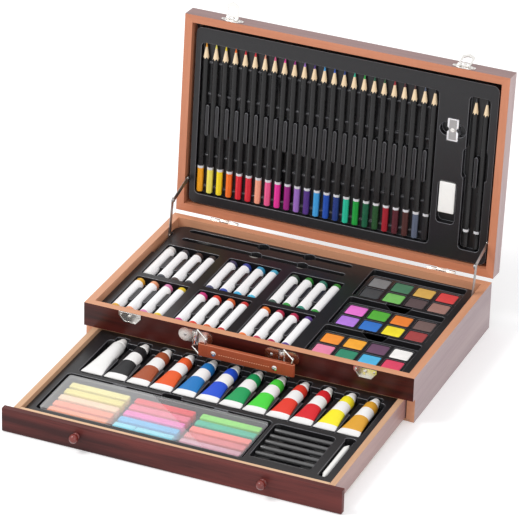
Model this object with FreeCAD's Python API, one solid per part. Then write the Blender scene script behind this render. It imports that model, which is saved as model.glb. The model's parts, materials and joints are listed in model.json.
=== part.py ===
"""Wooden art case with an upper tray, a hinged lid of pencils and a drawer.

Frame: the middle of the underside of the case is the origin, X runs to the
right, Y to the back and Z up.  The rest pose has the lid open, the drawer
pulled out, one hasp raised and the other folded back.
"""
import math
import os

import FreeCAD
import Part

Vec = FreeCAD.Vector

# Fits and clearances in mm
gap = 0.3
fit = 0.05
seat = 0.05
skin = 1.0

# Case boards
case_width = 380.0
case_depth = 235.0
case_height = 56.0
wall = 9.0
rail_height = 27.5
side_setback = 6.0
panel_thick = 3.0
rebate = 4.0
shelf_thick = 3.0
stop_space = 3.0

# Lid boards
lid_height = 20.5
lid_gap = 0.3
lid_angle = 94.0

# Drawer boards and the room left behind the closed drawer
rear_room = 15.0
face_thick = 7.0
face_bottom = 0.7
face_play = 0.6
drawer_wall = 6.9
drawer_inset = 10.3
inner_front_thick = 4.0
drawer_back_thick = 7.0
drawer_back_play = 0.6
drawer_panel_thick = 2.5
drawer_rebate = 3.5
knob_radius = 5.0
knob_neck_radius = 3.0
knob_neck_length = 2.2
knob_spread = 104.5
knob_rise = 1.7
knob_sink_share = 0.8

# Crayon cells, measured from the left wall and the back wall
upper_drop = 9.0
upper_corner = 16.0
cell_side_room = 10.0
cell_back_room = 48.5
cell_width = 62.2
cell_pitch = 74.5
cell_row_wall = 8.5
cell_corner = 2.5
cell_rise = 2.0
groove_first = 6.2
groove_pitch = 16.6
sticks_per_cell = 4
ridge_play = 0.15
ridge_start = 21.0
ridge_end = 22.0
ridge_drop = 1.0
crayon_radius = 5.8
crayon_core_radius = 5.45
crayon_length = 68.0
crayon_tip = 2.4
crayon_end_bare = 8.0
crayon_dome = 1.6
crayon_offset = 1.5
crayon_end_play = 3.5

# Brush slots and the brush
slot_side_room = 18.0
slot_palette_room = 23.5
slot_width = 6.4
slot_depth = 7.6
slot_back_room = 8.5
slot_spacing = 21.5
slot_bulge_radius = 7.0
slot_bulge_shares = (0.454, 0.737)
brush_radius = 2.4
brush_near_play = 3.0
brush_far_play = 5.0
brush_shoulder_share = 0.9
brush_waist_share = 0.8
brush_waist_at_share = 0.6
brush_end_share = 0.35
ferrule_length = 16.0
bristle_length = 14.0
bristle_width = 3.2
ferrule_radius = 2.1

# Paint palettes, measured from the right wall and the back wall
palette_side_room = 14.0
palette_back_room = 3.2
palette_well_width = 110.5
palette_well_length = 64.5
palette_pitch = 69.0
palette_depth = 7.5
palette_corner = 3.0
palette_thick = 5.6
palette_width = 108.0
palette_length = 53.0
palette_shift = 0.9
cake_width = 21.2
cake_pitch = 26.2
cakes_per_row = 4
cake_rows = 2
cake_length = 20.5
cake_row_pitch = 25.3
cake_back_margin = 2.4
cake_depth = 2.6
cake_drop = 0.6
cake_corner = 2.0
notch_top_width = 30.0
notch_floor_width = 14.0
notch_rise = 1.0

# Lid tray: s is measured from the hinge edge, depth from the rim of the lid
lid_tray_play = 3.4
lid_tray_near = 10.5
lid_tray_front = 14.5
lid_tray_corner = 7.5
lid_face = 5.5
lid_flange = 15.0
lid_floor = 13.3
pencil_well_side = 6.6
pencil_well_near = 22.0
pencil_well_front = 17.5
pencil_well_gap = 6.5
pencil_margin = 4.5
pencil_pitch = 11.75
pencil_near = 23.5
pencil_front = 19.0
pencil_radius = 3.7
pencil_point = 19.0
pencil_tip_radius = 0.5
finger_ridge_width = 4.0
finger_ridge_shares = (0.39, 0.598)
cross_rib_shares = (0.042, 0.253, 0.666, 0.874)
cross_rib_width = 2.0
cross_rib_depth = 10.5
graphite_well_side = 8.6
graphite_well_width = 24.5
graphite_well_near = 24.0
graphite_well_front = 17.0
graphite_bulge = 2.5
graphite_bulge_shares = (0.466, 0.671)
graphite_ridge_shares = (0.414, 0.62)
graphite_margin = 6.5
graphite_pitch = 12.5
graphite_count = 2
graphite_near = 25.5
graphite_front = 20.0
graphite_radius = 3.5
lid_well_corner = 5.0

# Sharpener and eraser, measured from the right edge of the lid tray
sharpener_side = 49.35
sharpener_near = 148.0
sharpener_width = 12.5
sharpener_length = 25.7
sharpener_thick = 9.0
sharpener_play = 0.3
sharpener_pit_radius = 15.0
blade_width = 8.4
blade_length = 23.0
blade_thick = 0.6
blade_screw_radius = 2.4
blade_screw_height = 0.9
blade_stud_length = 1.8
eraser_side = 50.4
eraser_near = 62.5
eraser_width = 18.4
eraser_length = 36.3
eraser_thick = 9.0
eraser_corner = 2.0
eraser_play = 1.5
eraser_pit = 12.0

# Paint tubes, crimps to the front, measured from the sides and back of the drawer
drawer_tray_drop = 5.5
drawer_tray_corner = 4.0
drawer_well_corner = 5.0
tube_well_left = 16.3
tube_well_right = 9.5
tube_well_back = 16.3
tube_well_length = 78.0
tube_floor_share = 0.32
tube_recess_back = 7.3
tube_recess_play = 1.9
tube_margin = 13.9
tube_pitch = 26.54
tube_front_play = 4.0
tube_length = 82.0
tube_crimp_drop = 0.65
tube_crimp_width = 24.4
tube_crimp_length = 4.5
tube_crimp_thick = 1.6
tube_radius = 7.4
tube_shoulder = 3.5
tube_neck_radius = 4.2
tube_cap_length = 11.5
tube_cap_radius = 5.6
tube_cap_tip_radius = 4.0
tube_cap_band = 2.3
tube_facets = 24
tube_width_shares = (0.97, 0.86, 0.72, 0.64)
tube_height_shares = (0.16, 0.45, 0.78, 0.96)
tube_along_shares = (0.03, 0.25, 0.55, 0.85)
ledge_reach = 2.5
wedge_length = 42.5
wedge_point = 0.4
wedge_left = 3.3
wedge_right = 0.6
wedge_shelf_share = 0.58

# Pastel box
box_side_room = 8.8
box_front_room = 13.5
box_back_room = 5.5
box_charcoal_gap = 4.0
box_left_play = 3.5
box_right_play = 3.0
box_front_play = 3.0
box_back_play = 4.0
box_floor_share = 0.1325
box_height = 14.6
box_cover = 1.2
box_corner = 3.0
box_finger_width = 22.0
box_finger_reach = 5.0
box_finger_shift = 1.25
box_clip_spread = 58.2
box_clip_width = 15.7
pastel_left_room = 6.3
pastel_right_room = 4.0
pastel_gap = 7.5
pastel_columns = 3
pastel_broken_column = 1
pastel_back_room = 11.5
pastel_front_room = 5.0
pastel_pitch = 13.5
pastel_side = 9.5
pastel_break = 24.0

# Charcoal and blending stump, measured from the right wall of the drawer
charcoal_side_room = 30.8
charcoal_well_width = 67.5
charcoal_front_room = 20.5
charcoal_back_room = 7.5
charcoal_floor_share = 0.41
charcoal_zone_inset = 16.5
charcoal_zone_rise = 1.8
charcoal_play = 1.0
charcoal_margin = 6.0
charcoal_pitch = 12.3
charcoal_radius = 2.6
stump_side_room = 16.1
stump_well_width = 9.5
stump_front_room = 16.0
stump_back_room = 6.5
stump_floor_share = 0.497
stump_pit_width = 12.0
stump_pit_reach = 4.0
stump_play = 3.0
stump_radius = 3.5
stump_tip = 8.0

# Lid hinges
hinge_spread = 130.0
hinge_width = 33.0
hinge_offset = 2.75
barrel_radius = 1.9
hinge_pin_radius = 0.9
leaf_thick = 1.0
leaf_depth = 11.0
leaf_cut = 2.8
leaf_screw_across_share = 0.3
leaf_screw_down_share = 0.62

# Screws
screw_head_radius = 1.7
screw_head_height = 0.7
screw_shank_radius = 0.8
screw_length = 6.0
screw_slot = 0.35

# Latches and catches
latch_spread = 135.5
latch_plate_width = 26.0
latch_plate_near = 0.6
latch_plate_depth = 9.8
latch_plate_share = 0.45
latch_offset = 2.75
latch_pin_depth = 5.0
latch_pin_radius = 0.7
latch_barrel_radius = 1.4
latch_knuckle = 5.0
hasp_width = 14.5
hasp_length = 19.5
hasp_gable = 4.0
hasp_bar = 2.0
hasp_thick = 1.0
hasp_right_back = 72.0
catch_drop = 0.2
catch_height = 11.5
catch_shoulder_height = 7.2
catch_foot = 14.0
catch_border = 1.3
catch_border_rise = 0.25
catch_screw_x = 10.2
catch_screw_drop = 3.0
catch_screw_radius = 1.2
hook_width = 3.0
hook_reach = 3.0
hook_drop_from_rim = 3.0
hook_thick = 1.6
hook_drop = 1.8

# Carrying handle, heights measured down from the rim of the case
handle_x = -8.55
handle_spacing = 99.6
plate_drop = 9.5
plate_wing_x = 12.0
plate_wing_radius = 7.8
bridge_radius = 4.0
bridge_drop = 2.3
bridge_height = 16.2
ring_wire = 0.9
ring_length = 22.0
ring_tilt = 15.0
ring_axis_out = 2.0
ring_axis_drop = 11.0
ring_reach = 14.0
ring_out = 9.4
strap_drop = 9.5
strap_height = 14.5
strap_thick = 4.8
strap_left_end = 5.7
strap_right_end = 5.4
strap_slot_length = 8.5
strap_slot_width = 2.4
strap_corner = 1.6
rivet_left = -31.9
rivet_right = 38.5
rivet_radius = 3.0
rivet_height = 1.1
rivet_shank = 1.4
rivet_dome_share = 0.55
rivet_sink = 1.0

# Lid stays
stay_back_room = 35.5
stay_drop = 10.0
stay_lid_s = 38.44
stay_lid_depth = 4.2
stay_half_width = 3.0
stay_thick = 0.8
stay_layer = 0.3
stay_pin_radius = 1.2
stay_pin_bed = 1.6
stay_head_radius = 2.2
stay_notch_length = 52.0
stay_notch_room = 29.5

# Derived planes
tiny = skin / 100
half_width = case_width / 2
front_y = -case_depth / 2
back_y = case_depth / 2
inner_x = half_width - wall
inner_front = front_y + wall
inner_back = back_y - wall
rail_bottom = case_height - rail_height
shelf_bottom = rail_bottom + stop_space
shelf_top = shelf_bottom + shelf_thick
upper_face = case_height - upper_drop
lid_rim = case_height + lid_gap
hinge_y = back_y + hinge_offset
hinge_z = case_height + lid_gap / 2
drawer_half = half_width - drawer_inset
drawer_inner = drawer_half - drawer_wall
drawer_stop = inner_front + gap
drawer_rear = drawer_stop + drawer_back_thick
drawer_travel = inner_back - rear_room - drawer_rear
drawer_bottom_z = panel_thick + gap
drawer_seat = drawer_bottom_z + drawer_panel_thick
drawer_back_top = shelf_bottom - drawer_back_play
face_back = front_y + side_setback - gap - drawer_travel
face_front = face_back - face_thick
face_top = rail_bottom - face_play
knob_height = (face_bottom + face_top) / 2 + knob_rise
stay_lower_out = inner_x - stay_layer - fit
stay_lower_in = stay_lower_out - stay_thick
stay_upper_out = stay_lower_in - stay_layer
stay_upper_in = stay_upper_out - stay_thick
stay_head_in = stay_upper_in - stay_thick

# Derived layout of the upper tray
cell_left = -inner_x + cell_side_room
cell_floor = shelf_top + cell_rise
cell_back = inner_back - cell_back_room
cell_length = crayon_offset + crayon_length + crayon_end_play
cell_row_pitch = cell_length + cell_row_wall
crayon_wrap_length = crayon_length - crayon_tip - crayon_end_bare
ridge_length = cell_length - ridge_start - ridge_end
ridge_top = upper_face - ridge_drop
ridge_width = groove_pitch - crayon_radius * 2 - ridge_play * 2
palette_right = inner_x - palette_side_room
palette_left = palette_right - palette_well_width
palette_back = inner_back - palette_back_room
palette_floor = upper_face - palette_depth
slot_left = -inner_x + slot_side_room
slot_right = palette_left - slot_palette_room
slot_floor = upper_face - slot_depth
slot_back_y = inner_back - slot_back_room
slot_front_y = slot_back_y - slot_spacing
brush_left = slot_left + brush_near_play
brush_length = slot_right - brush_far_play - brush_left

# Derived layout of the lid tray
lid_tray_half = inner_x - lid_tray_play
lid_tray_far = case_depth - lid_tray_front
graphite_well = (lid_tray_half - graphite_well_side - graphite_well_width,
                 lid_tray_half - graphite_well_side,
                 graphite_well_near, lid_tray_far - graphite_well_front)
graphite_first = graphite_well[0] + graphite_margin
graphite_length = lid_tray_far - graphite_front - graphite_near
sharpener_x = lid_tray_half - sharpener_side
sharpener_s = sharpener_near + sharpener_length / 2
eraser_x = lid_tray_half - eraser_side
eraser_well = (eraser_x - eraser_width / 2 - eraser_play, eraser_x + eraser_width / 2 + eraser_play,
               eraser_near - eraser_pit, eraser_near + eraser_length + eraser_play)
pencil_well = (-lid_tray_half + pencil_well_side, eraser_well[0] - pencil_well_gap,
               pencil_well_near, lid_tray_far - pencil_well_front)
pencil_first = pencil_well[0] + pencil_margin
pencil_length = lid_tray_far - pencil_front - pencil_near

# Derived layout of the drawer tray
drawer_face_z = face_top - drawer_tray_drop
tray_room = drawer_face_z - drawer_seat
tray_front = face_back + inner_front_thick
tube_well = (-drawer_inner + tube_well_left, drawer_inner - tube_well_right,
             drawer_stop - tube_well_back - tube_well_length, drawer_stop - tube_well_back)
tube_floor = drawer_seat + tray_room * tube_floor_share
tube_first = tube_well[0] + tube_margin
tube_crimp_y = tube_well[2] + tube_front_play
tube_crimp_z = drawer_face_z - tube_crimp_drop
charcoal_well = (drawer_inner - charcoal_side_room - charcoal_well_width,
                 drawer_inner - charcoal_side_room,
                 tray_front + charcoal_front_room, tube_well[2] - charcoal_back_room)
charcoal_floor = drawer_seat + tray_room * charcoal_floor_share
charcoal_zone_top = charcoal_floor + charcoal_zone_rise
stump_x = drawer_inner - stump_side_room
stump_well = (stump_x - stump_well_width / 2, stump_x + stump_well_width / 2,
              tray_front + stump_front_room, tube_well[2] - stump_back_room)
stump_floor = drawer_seat + tray_room * stump_floor_share
box_well = (-drawer_inner + box_side_room, charcoal_well[0] - box_charcoal_gap,
            tray_front + box_front_room, tube_well[2] - box_back_room)
box_floor = drawer_seat + tray_room * box_floor_share
box_body = (box_well[0] + box_left_play, box_well[1] - box_right_play,
            box_well[2] + box_front_play, box_well[3] - box_back_play)

# Derived heights of the hardware on the front rail
catch_top = case_height - catch_drop
catch_bottom = catch_top - catch_height
catch_shoulder = catch_bottom + catch_shoulder_height
catch_screw_z = case_height - catch_screw_drop
hook_top = case_height - hook_drop_from_rim
plate_z = case_height - plate_drop
bridge_top = case_height - bridge_drop
bridge_bottom = bridge_top - bridge_height
ring_axis_z = case_height - ring_axis_drop
strap_top = case_height - strap_drop
strap_bottom = strap_top - strap_height

pieces = {}


# Basic solids
def box(x0, x1, y0, y1, z0, z1):
    """Block between two corners."""
    return Part.makeBox(x1 - x0, y1 - y0, z1 - z0, Vec(x0, y0, z0))


def rod(start, end, radius):
    """Round bar between two points."""
    axis = end - start
    return Part.makeCylinder(radius, axis.Length, start, axis)


def prism(points, z0, z1):
    """Upright solid over a plan outline."""
    ring = [Vec(x, y, z0) for x, y in points]
    face = Part.Face(Part.makePolygon(ring + ring[:1]))
    return face.extrude(Vec(0, 0, z1 - z0))


def slab(x0, x1, y0, y1, z0, z1, corner):
    """Upright block with round plan corners."""
    radius = min(corner, (x1 - x0) / 2 - tiny, (y1 - y0) / 2 - tiny)
    block = box(x0, x1, y0, y1, z0, z1)
    if radius <= tiny:
        return block
    edges = [e for e in block.Edges if abs(e.Vertexes[0].Z - e.Vertexes[-1].Z) > tiny]
    return block.makeFillet(radius, edges)


def disc(x, y, z0, z1, radius):
    """Upright round block."""
    return Part.makeCylinder(radius, z1 - z0, Vec(x, y, z0))


def turned(profile, centre, axis):
    """Solid of revolution from (along, radius) pairs about an axis."""
    ring = [Vec(r, 0, a) for a, r in profile]
    face = Part.Face(Part.makePolygon(ring + ring[:1]))
    solid = face.revolve(Vec(0, 0, 0), Vec(0, 0, 1), 360)
    turn = FreeCAD.Rotation(Vec(0, 0, 1), axis)
    solid.Placement = FreeCAD.Placement(centre, turn)
    return solid


def fused(parts):
    """One clean body from many."""
    whole = parts[0]
    if len(parts) > 1:
        whole = parts[0].multiFuse(parts[1:])
    return whole.removeSplitter()


def counted(room, pitch):
    """How many times a pitch fits in a room."""
    return int(room / pitch + tiny)


def grouped(parts):
    """Separate solids kept in one node."""
    solids = []
    for part in parts:
        solids += part.Solids
    return Part.makeCompound(solids)


def moved(shape, x, y, z):
    """Copy of a shape shifted by an offset."""
    copy = shape.copy()
    copy.translate(Vec(x, y, z))
    return copy


def turned_by(shape, centre, axis, angle):
    """Copy of a shape rotated about an axis."""
    copy = shape.copy()
    copy.rotate(centre, axis, angle)
    return copy


def mirrored(shape):
    """Copy of a shape on the other side of the middle plane."""
    return shape.mirror(Vec(0, 0, 0), Vec(1, 0, 0))


def screw(x, y, z, axis, head_radius=screw_head_radius):
    """Slotted round-headed screw and the hole it needs, head seated at the point."""
    seat_at = Vec(x, y, z)
    head = turned(((0, 0), (0, head_radius), (screw_head_height / 3, head_radius),
                   (screw_head_height, head_radius / 2), (screw_head_height, 0)), seat_at, axis)
    side = axis.cross(Vec(0, 0, 1))
    if side.Length < fit:
        side = axis.cross(Vec(0, 1, 0))
    across = head_radius + skin
    groove = Part.makeBox(across * 2, screw_slot, screw_head_height,
                          Vec(-across, -screw_slot / 2, screw_head_height / 2))
    groove.Placement = FreeCAD.Placement(seat_at, FreeCAD.Rotation(Vec(0, 0, 1), axis))
    shank = rod(seat_at + axis * tiny, seat_at - axis * screw_length, screw_shank_radius)
    hole = rod(seat_at + axis * screw_head_height,
               seat_at - axis * (screw_length + fit), screw_shank_radius + fit)
    return head.cut(groove).fuse(shank), hole


def moulding(outline, base, face, corner, wells, extras=()):
    """Thin moulded tray: a top sheet, a skirt and a cup for every well."""
    x0, x1, y0, y1 = outline
    block = slab(x0, x1, y0, y1, base, face, corner)
    hollow = slab(x0 + skin, x1 - skin, y0 + skin, y1 - skin, base - skin, face - skin, corner - skin)
    cups = []
    cuts = []
    for a0, a1, b0, b1, floor, round_by in wells:
        cups.append(slab(a0 - skin, a1 + skin, b0 - skin, b1 + skin, floor - skin, face - skin / 2,
                         round_by + skin))
        cuts.append(slab(a0, a1, b0, b1, floor, face + skin, round_by))
    body = block.cut(hollow).multiFuse(cups).common(block)
    body = body.cut(cuts)
    if extras:
        body = body.multiFuse(list(extras))
    return body.removeSplitter()


# Lid coordinates: s runs from the hinge edge to the front, depth runs from the
# rim into the lid, and lid pieces are built face up as (x, s, minus depth)
x_axis = Vec(1, 0, 0)
hinge_point = Vec(0, hinge_y, hinge_z)


def closed(shape):
    """Lay a lid piece face down on the case."""
    copy = turned_by(shape, Vec(0, 0, 0), x_axis, 180)
    copy.translate(Vec(0, back_y, lid_rim))
    return copy


def opened(shape):
    """Put a lid piece where it stands with the lid open."""
    return turned_by(closed(shape), hinge_point, x_axis, -lid_angle)


def lid_slab(bounds, depth0, depth1, corner):
    """Rounded block in the lid between two depths."""
    x0, x1, s0, s1 = bounds
    return slab(x0, x1, s0, s1, -depth1, -depth0, corner)


# Hinge hardware
axis_s = -hinge_offset
axis_z = lid_gap / 2
third = hinge_width / 6
leaf_screw_x = hinge_width * leaf_screw_across_share
leaf_screw_down = leaf_depth * leaf_screw_down_share
case_back_cuts = []
lid_back_cuts = []
lower_leaves = []
upper_leaves = []
hinge_pins = []
case_screws = []
lid_screws = []
for side in (-1, 1):
    cx = side * hinge_spread
    ends = ((cx - hinge_width / 2, cx - third - gap / 2), (cx + third + gap / 2, cx + hinge_width / 2))
    barrels = [rod(Vec(a, hinge_y, hinge_z), Vec(b, hinge_y, hinge_z), barrel_radius) for a, b in ends]
    tabs = [box(a, b, back_y, back_y + leaf_thick, case_height - leaf_cut - skin, hinge_z)
            for a, b in ends]
    leaf = box(cx - hinge_width / 2, cx + hinge_width / 2, back_y, back_y + leaf_thick,
               case_height - leaf_depth, case_height - leaf_cut)
    bore = rod(Vec(cx - hinge_width, hinge_y, hinge_z), Vec(cx + hinge_width, hinge_y, hinge_z),
               hinge_pin_radius + fit)
    holes = []
    for step in (-1, 1):
        solid, hole = screw(cx + step * leaf_screw_x, back_y + leaf_thick,
                            case_height - leaf_screw_down, Vec(0, 1, 0))
        case_screws.append(solid)
        holes.append(hole)
    case_back_cuts += holes
    lower_leaves.append(fused([leaf] + barrels + tabs).cut(holes + [bore]))
    middle = rod(Vec(cx - third + gap / 2, axis_s, axis_z), Vec(cx + third - gap / 2, axis_s, axis_z),
                 barrel_radius)
    tab = box(cx - third + gap / 2, cx + third - gap / 2, -leaf_thick, 0, -leaf_cut - skin, axis_z)
    upper = box(cx - hinge_width / 2, cx + hinge_width / 2, -leaf_thick, 0, -leaf_depth, -leaf_cut)
    upper_bore = rod(Vec(cx - hinge_width, axis_s, axis_z), Vec(cx + hinge_width, axis_s, axis_z),
                     hinge_pin_radius + fit)
    holes = []
    for step in (-1, 1):
        solid, hole = screw(cx + step * leaf_screw_x, -leaf_thick, -leaf_screw_down,
                            Vec(0, -1, 0))
        lid_screws.append(solid)
        holes.append(hole)
    lid_back_cuts += holes
    upper_leaves.append(fused([upper, middle, tab]).cut(holes + [upper_bore]))
    pin = rod(Vec(cx - hinge_width / 2 - gap, hinge_y, hinge_z),
              Vec(cx + hinge_width / 2 + gap, hinge_y, hinge_z), hinge_pin_radius)
    hinge_pins.append(pin)

# Catches on the front rail
rail_cuts = []
catches = []
for side in (-1, 1):
    cx = side * latch_spread
    half = latch_plate_width / 2

    def catch_face(inset):
        """Half-hexagon outline as (x, z) pairs, drawn in by an inset."""
        return ((cx - half + inset, catch_top - inset), (cx + half - inset, catch_top - inset),
                (cx + half - inset, catch_shoulder + inset / 2),
                (cx + catch_foot / 2 - inset / 2, catch_bottom + inset),
                (cx - catch_foot / 2 + inset / 2, catch_bottom + inset),
                (cx - half + inset, catch_shoulder + inset / 2))

    def catch_plate(inset, reach):
        """Catch outline as a plate standing off the rail."""
        ring = [Vec(x, front_y, z) for x, z in catch_face(inset)]
        return Part.Face(Part.makePolygon(ring + ring[:1])).extrude(Vec(0, -reach, 0))

    rim = catch_plate(0, leaf_thick + catch_border_rise)
    rim = rim.cut(moved(catch_plate(catch_border, leaf_thick + skin), 0, -leaf_thick, 0))
    stem = box(cx - hook_width / 2, cx + hook_width / 2, front_y - leaf_thick - hook_reach,
               front_y - leaf_thick / 2, hook_top - hook_thick, hook_top)
    lip = box(cx - hook_width / 2, cx + hook_width / 2, front_y - leaf_thick - hook_reach,
              front_y - leaf_thick - hook_reach + hook_thick / 2,
              hook_top - hook_thick - hook_drop, hook_top)
    plate = fused([rim, stem, lip])
    for step in (-1, 1):
        solid, hole = screw(cx + step * catch_screw_x, front_y - leaf_thick, catch_screw_z,
                            Vec(0, -1, 0), catch_screw_radius)
        case_screws.append(solid)
        rail_cuts.append(hole)
        plate = plate.cut(hole)
    catches.append(plate)

# Handle plates with a half-round bridge over each ring
tilt = math.radians(ring_tilt)
ring_axis = Vec(-math.sin(tilt), 0, -math.cos(tilt))
ring_rise = -ring_reach * math.tan(tilt)
ring_centres = []
bars = []
handle_plates = []
ring_cuts = []
for side in (-1, 1):
    cx = handle_x + side * handle_spacing / 2
    ring_centres.append(Vec(cx, front_y - ring_axis_out, ring_axis_z))
    lobes = []
    for step in (-1, 1):
        wing = rod(Vec(cx + step * plate_wing_x, front_y, plate_z),
                   Vec(cx + step * plate_wing_x, front_y - leaf_thick, plate_z), plate_wing_radius)
        lobes.append(wing)
    lobes.append(box(cx - plate_wing_x, cx + plate_wing_x, front_y - leaf_thick, front_y,
                     plate_z - plate_wing_radius + skin / 2, plate_z + plate_wing_radius - skin / 2))
    hump = rod(Vec(cx, front_y, bridge_bottom), Vec(cx, front_y, bridge_top), bridge_radius)
    behind = box(cx - bridge_radius, cx + bridge_radius, front_y, front_y + bridge_radius,
                 bridge_bottom, bridge_top)
    lobes.append(hump.cut(behind))
    centre = ring_centres[-1]
    bore = rod(centre - ring_axis * ring_length, centre + ring_axis * ring_length, ring_wire + fit)
    plate = fused(lobes).cut(bore)
    ring_cuts.append(bore)
    for step in (-1, 1):
        solid, hole = screw(cx + step * plate_wing_x, front_y - leaf_thick, plate_z, Vec(0, -1, 0))
        case_screws.append(solid)
        rail_cuts.append(hole)
        plate = plate.cut(hole)
    handle_plates.append(plate)

# Rings and the strap they carry
reach = Vec(ring_reach, -ring_out, ring_rise)
rings = []
for centre in ring_centres:
    half = ring_axis * (ring_length / 2)
    corners = [centre - half, centre + half, centre + half + reach, centre - half + reach]
    wires = [rod(corners[i - 1], corners[i], ring_wire) for i in range(4)]
    balls = [Part.makeSphere(ring_wire, corner) for corner in corners]
    rings.append(fused(wires + balls))
    bars.append(centre + reach)
strap_y = bars[0].y
strap_left = bars[0].x - strap_left_end
strap_right = bars[1].x + strap_right_end
strap = slab(strap_left, strap_right, strap_bottom, strap_top, -strap_thick / 2, strap_thick / 2,
             strap_corner)
strap = turned_by(strap, Vec(0, 0, 0), x_axis, 90)
strap.translate(Vec(0, strap_y, 0))
strap_cuts = []
for bar in bars:
    mid = (strap_bottom + strap_top) / 2
    slot_x = bar.x + (mid - bar.z) * math.tan(tilt)
    strap_cuts.append(slab(slot_x - strap_slot_length / 2, slot_x + strap_slot_length / 2,
                           strap_y - strap_slot_width / 2, strap_y + strap_slot_width / 2,
                           strap_bottom - skin, strap_top + skin, strap_slot_width / 2))
    low = bar + ring_axis * (ring_length / 2)
    sweep = ring_wire + gap
    leg = box(low.x - strap_left_end, low.x + sweep * 2, low.y - sweep, low.y + strap_left_end,
              low.z - sweep * 2, low.z + sweep)
    strap_cuts.append(turned_by(leg, low, Vec(0, 1, 0), ring_tilt))
rivets = []
for x in (rivet_left, rivet_right):
    z = (strap_bottom + strap_top) / 2 - rivet_sink
    rivet_front = strap_y - strap_thick / 2
    rivet_back = strap_y + strap_thick / 2
    strap_cuts.append(rod(Vec(x, rivet_front - skin, z), Vec(x, rivet_back + skin, z),
                          rivet_shank + fit))
    head = turned(((0, 0), (0, rivet_radius), (rivet_height / 3, rivet_radius),
                   (rivet_height, rivet_radius * rivet_dome_share), (rivet_height, 0)),
                  Vec(x, rivet_front, z), Vec(0, -1, 0))
    tail = rod(Vec(x, rivet_back, z), Vec(x, rivet_back + rivet_height / 2, z), rivet_radius)
    shank = rod(Vec(x, rivet_front, z), Vec(x, rivet_back, z), rivet_shank)
    rivets.append(fused([head, shank, tail]))
strap = strap.cut(strap_cuts)

# Case boards with mitred corners
bottom_x = inner_x + rebate
bottom_back = inner_back + rebate
side_front = front_y + side_setback
upper_side = prism(((half_width, front_y), (half_width, back_y), (inner_x, inner_back),
                    (inner_x, inner_front)), rail_bottom, case_height)
lower_side = prism(((half_width, side_front), (half_width, back_y), (inner_x, inner_back),
                    (inner_x, side_front)), 0, rail_bottom)
panel_cut = box(-bottom_x, bottom_x, front_y - skin, bottom_back, -skin, panel_thick)
right_side = fused([upper_side, lower_side]).cut(panel_cut)
back_board = prism(((half_width, back_y), (-half_width, back_y), (-inner_x, inner_back),
                    (inner_x, inner_back)), 0, case_height).cut([panel_cut] + case_back_cuts)
front_rail = prism(((half_width, front_y), (-half_width, front_y), (-inner_x, inner_front),
                    (inner_x, inner_front)), rail_bottom, case_height).cut(rail_cuts + ring_cuts)
pieces["case_bottom_panel"] = box(-bottom_x, bottom_x, side_front, bottom_back, 0, panel_thick)
pieces["case_back_panel"] = back_board
pieces["case_front_rail"] = front_rail

# Stay pivots in the frame of the open lid
lid_closed = Vec(0, back_y - stay_lid_s, lid_rim + stay_lid_depth)
turn = FreeCAD.Rotation(x_axis, -lid_angle)
lid_pivot = hinge_point + turn.multVec(lid_closed - hinge_point)
case_pivot = Vec(0, back_y - stay_back_room, case_height - stay_drop)
knee = case_pivot + lid_pivot - hinge_point


def at_x(point, x):
    """Point moved to another x."""
    return Vec(x, point.y, point.z)


def link(start, end, x0, x1, holes):
    """Flat bar with round ends between two pivots."""
    along = end - start
    along.normalize()
    across = Vec(0, -along.z, along.y) * stay_half_width
    ring = [at_x(p, x0) for p in (start + across, end + across, end - across, start - across)]
    web = Part.Face(Part.makePolygon(ring + ring[:1])).extrude(Vec(x1 - x0, 0, 0))
    ends = [rod(at_x(p, x0), at_x(p, x1), stay_half_width) for p in (start, end)]
    bores = [rod(at_x(p, x0 - skin), at_x(p, x1 + skin), stay_pin_radius + fit) for p in holes]
    return fused([web] + ends).cut(bores)


def pivot(point, wall_x, head_x, tip_x):
    """Headed pin from a wall to the inner face of a link."""
    stem = rod(at_x(point, wall_x), at_x(point, head_x), stay_pin_radius)
    head = rod(at_x(point, head_x), at_x(point, tip_x), stay_head_radius)
    return stem.fuse(head).removeSplitter()


lower_stay = link(case_pivot, knee, stay_lower_in, stay_lower_out, (case_pivot, knee))
upper_stay = link(knee, lid_pivot, stay_upper_in, stay_upper_out, (lid_pivot,))
knee_pin = pivot(knee, stay_lower_out + fit, stay_upper_in, stay_head_in)
upper_stay = fused([upper_stay, knee_pin])
case_pin = pivot(case_pivot, inner_x + stay_pin_bed, stay_lower_in - fit, stay_upper_in)
lid_pin = pivot(lid_pivot, inner_x + stay_pin_bed, stay_upper_in - fit, stay_head_in + fit)
case_pin_hole = rod(at_x(case_pivot, inner_x - skin), at_x(case_pivot, inner_x + stay_pin_bed + fit),
                    stay_pin_radius + fit)
lid_pin_hole = turned_by(rod(at_x(lid_pivot, inner_x - skin), at_x(lid_pivot, inner_x + stay_pin_bed + fit),
                             stay_pin_radius + fit), hinge_point, x_axis, lid_angle)
right_side = right_side.cut(case_pin_hole)
pieces["case_right_side"] = right_side
pieces["case_left_side"] = mirrored(right_side)
pieces["stay_lower_right"] = lower_stay
pieces["stay_lower_left"] = mirrored(lower_stay)
pieces["stay_upper_right"] = upper_stay
pieces["stay_upper_left"] = mirrored(upper_stay)
pieces["stay_case_pivots"] = grouped([case_pin, mirrored(case_pin)])
pieces["stay_lid_pivots"] = grouped([lid_pin, mirrored(lid_pin)])
pieces["catch_plates"] = grouped(catches)
pieces["handle_plates"] = grouped(handle_plates)
pieces["ring_left"] = rings[0]
pieces["ring_right"] = rings[1]
pieces["handle_strap"] = strap
pieces["handle_rivets"] = grouped(rivets)
pieces["hinge_lower_leaves"] = grouped(lower_leaves)
pieces["hinge_pins"] = grouped(hinge_pins)
pieces["case_screws"] = grouped(case_screws)
pieces["tray_shelf"] = box(-inner_x, inner_x, inner_front, inner_back, shelf_bottom, shelf_top)

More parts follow.
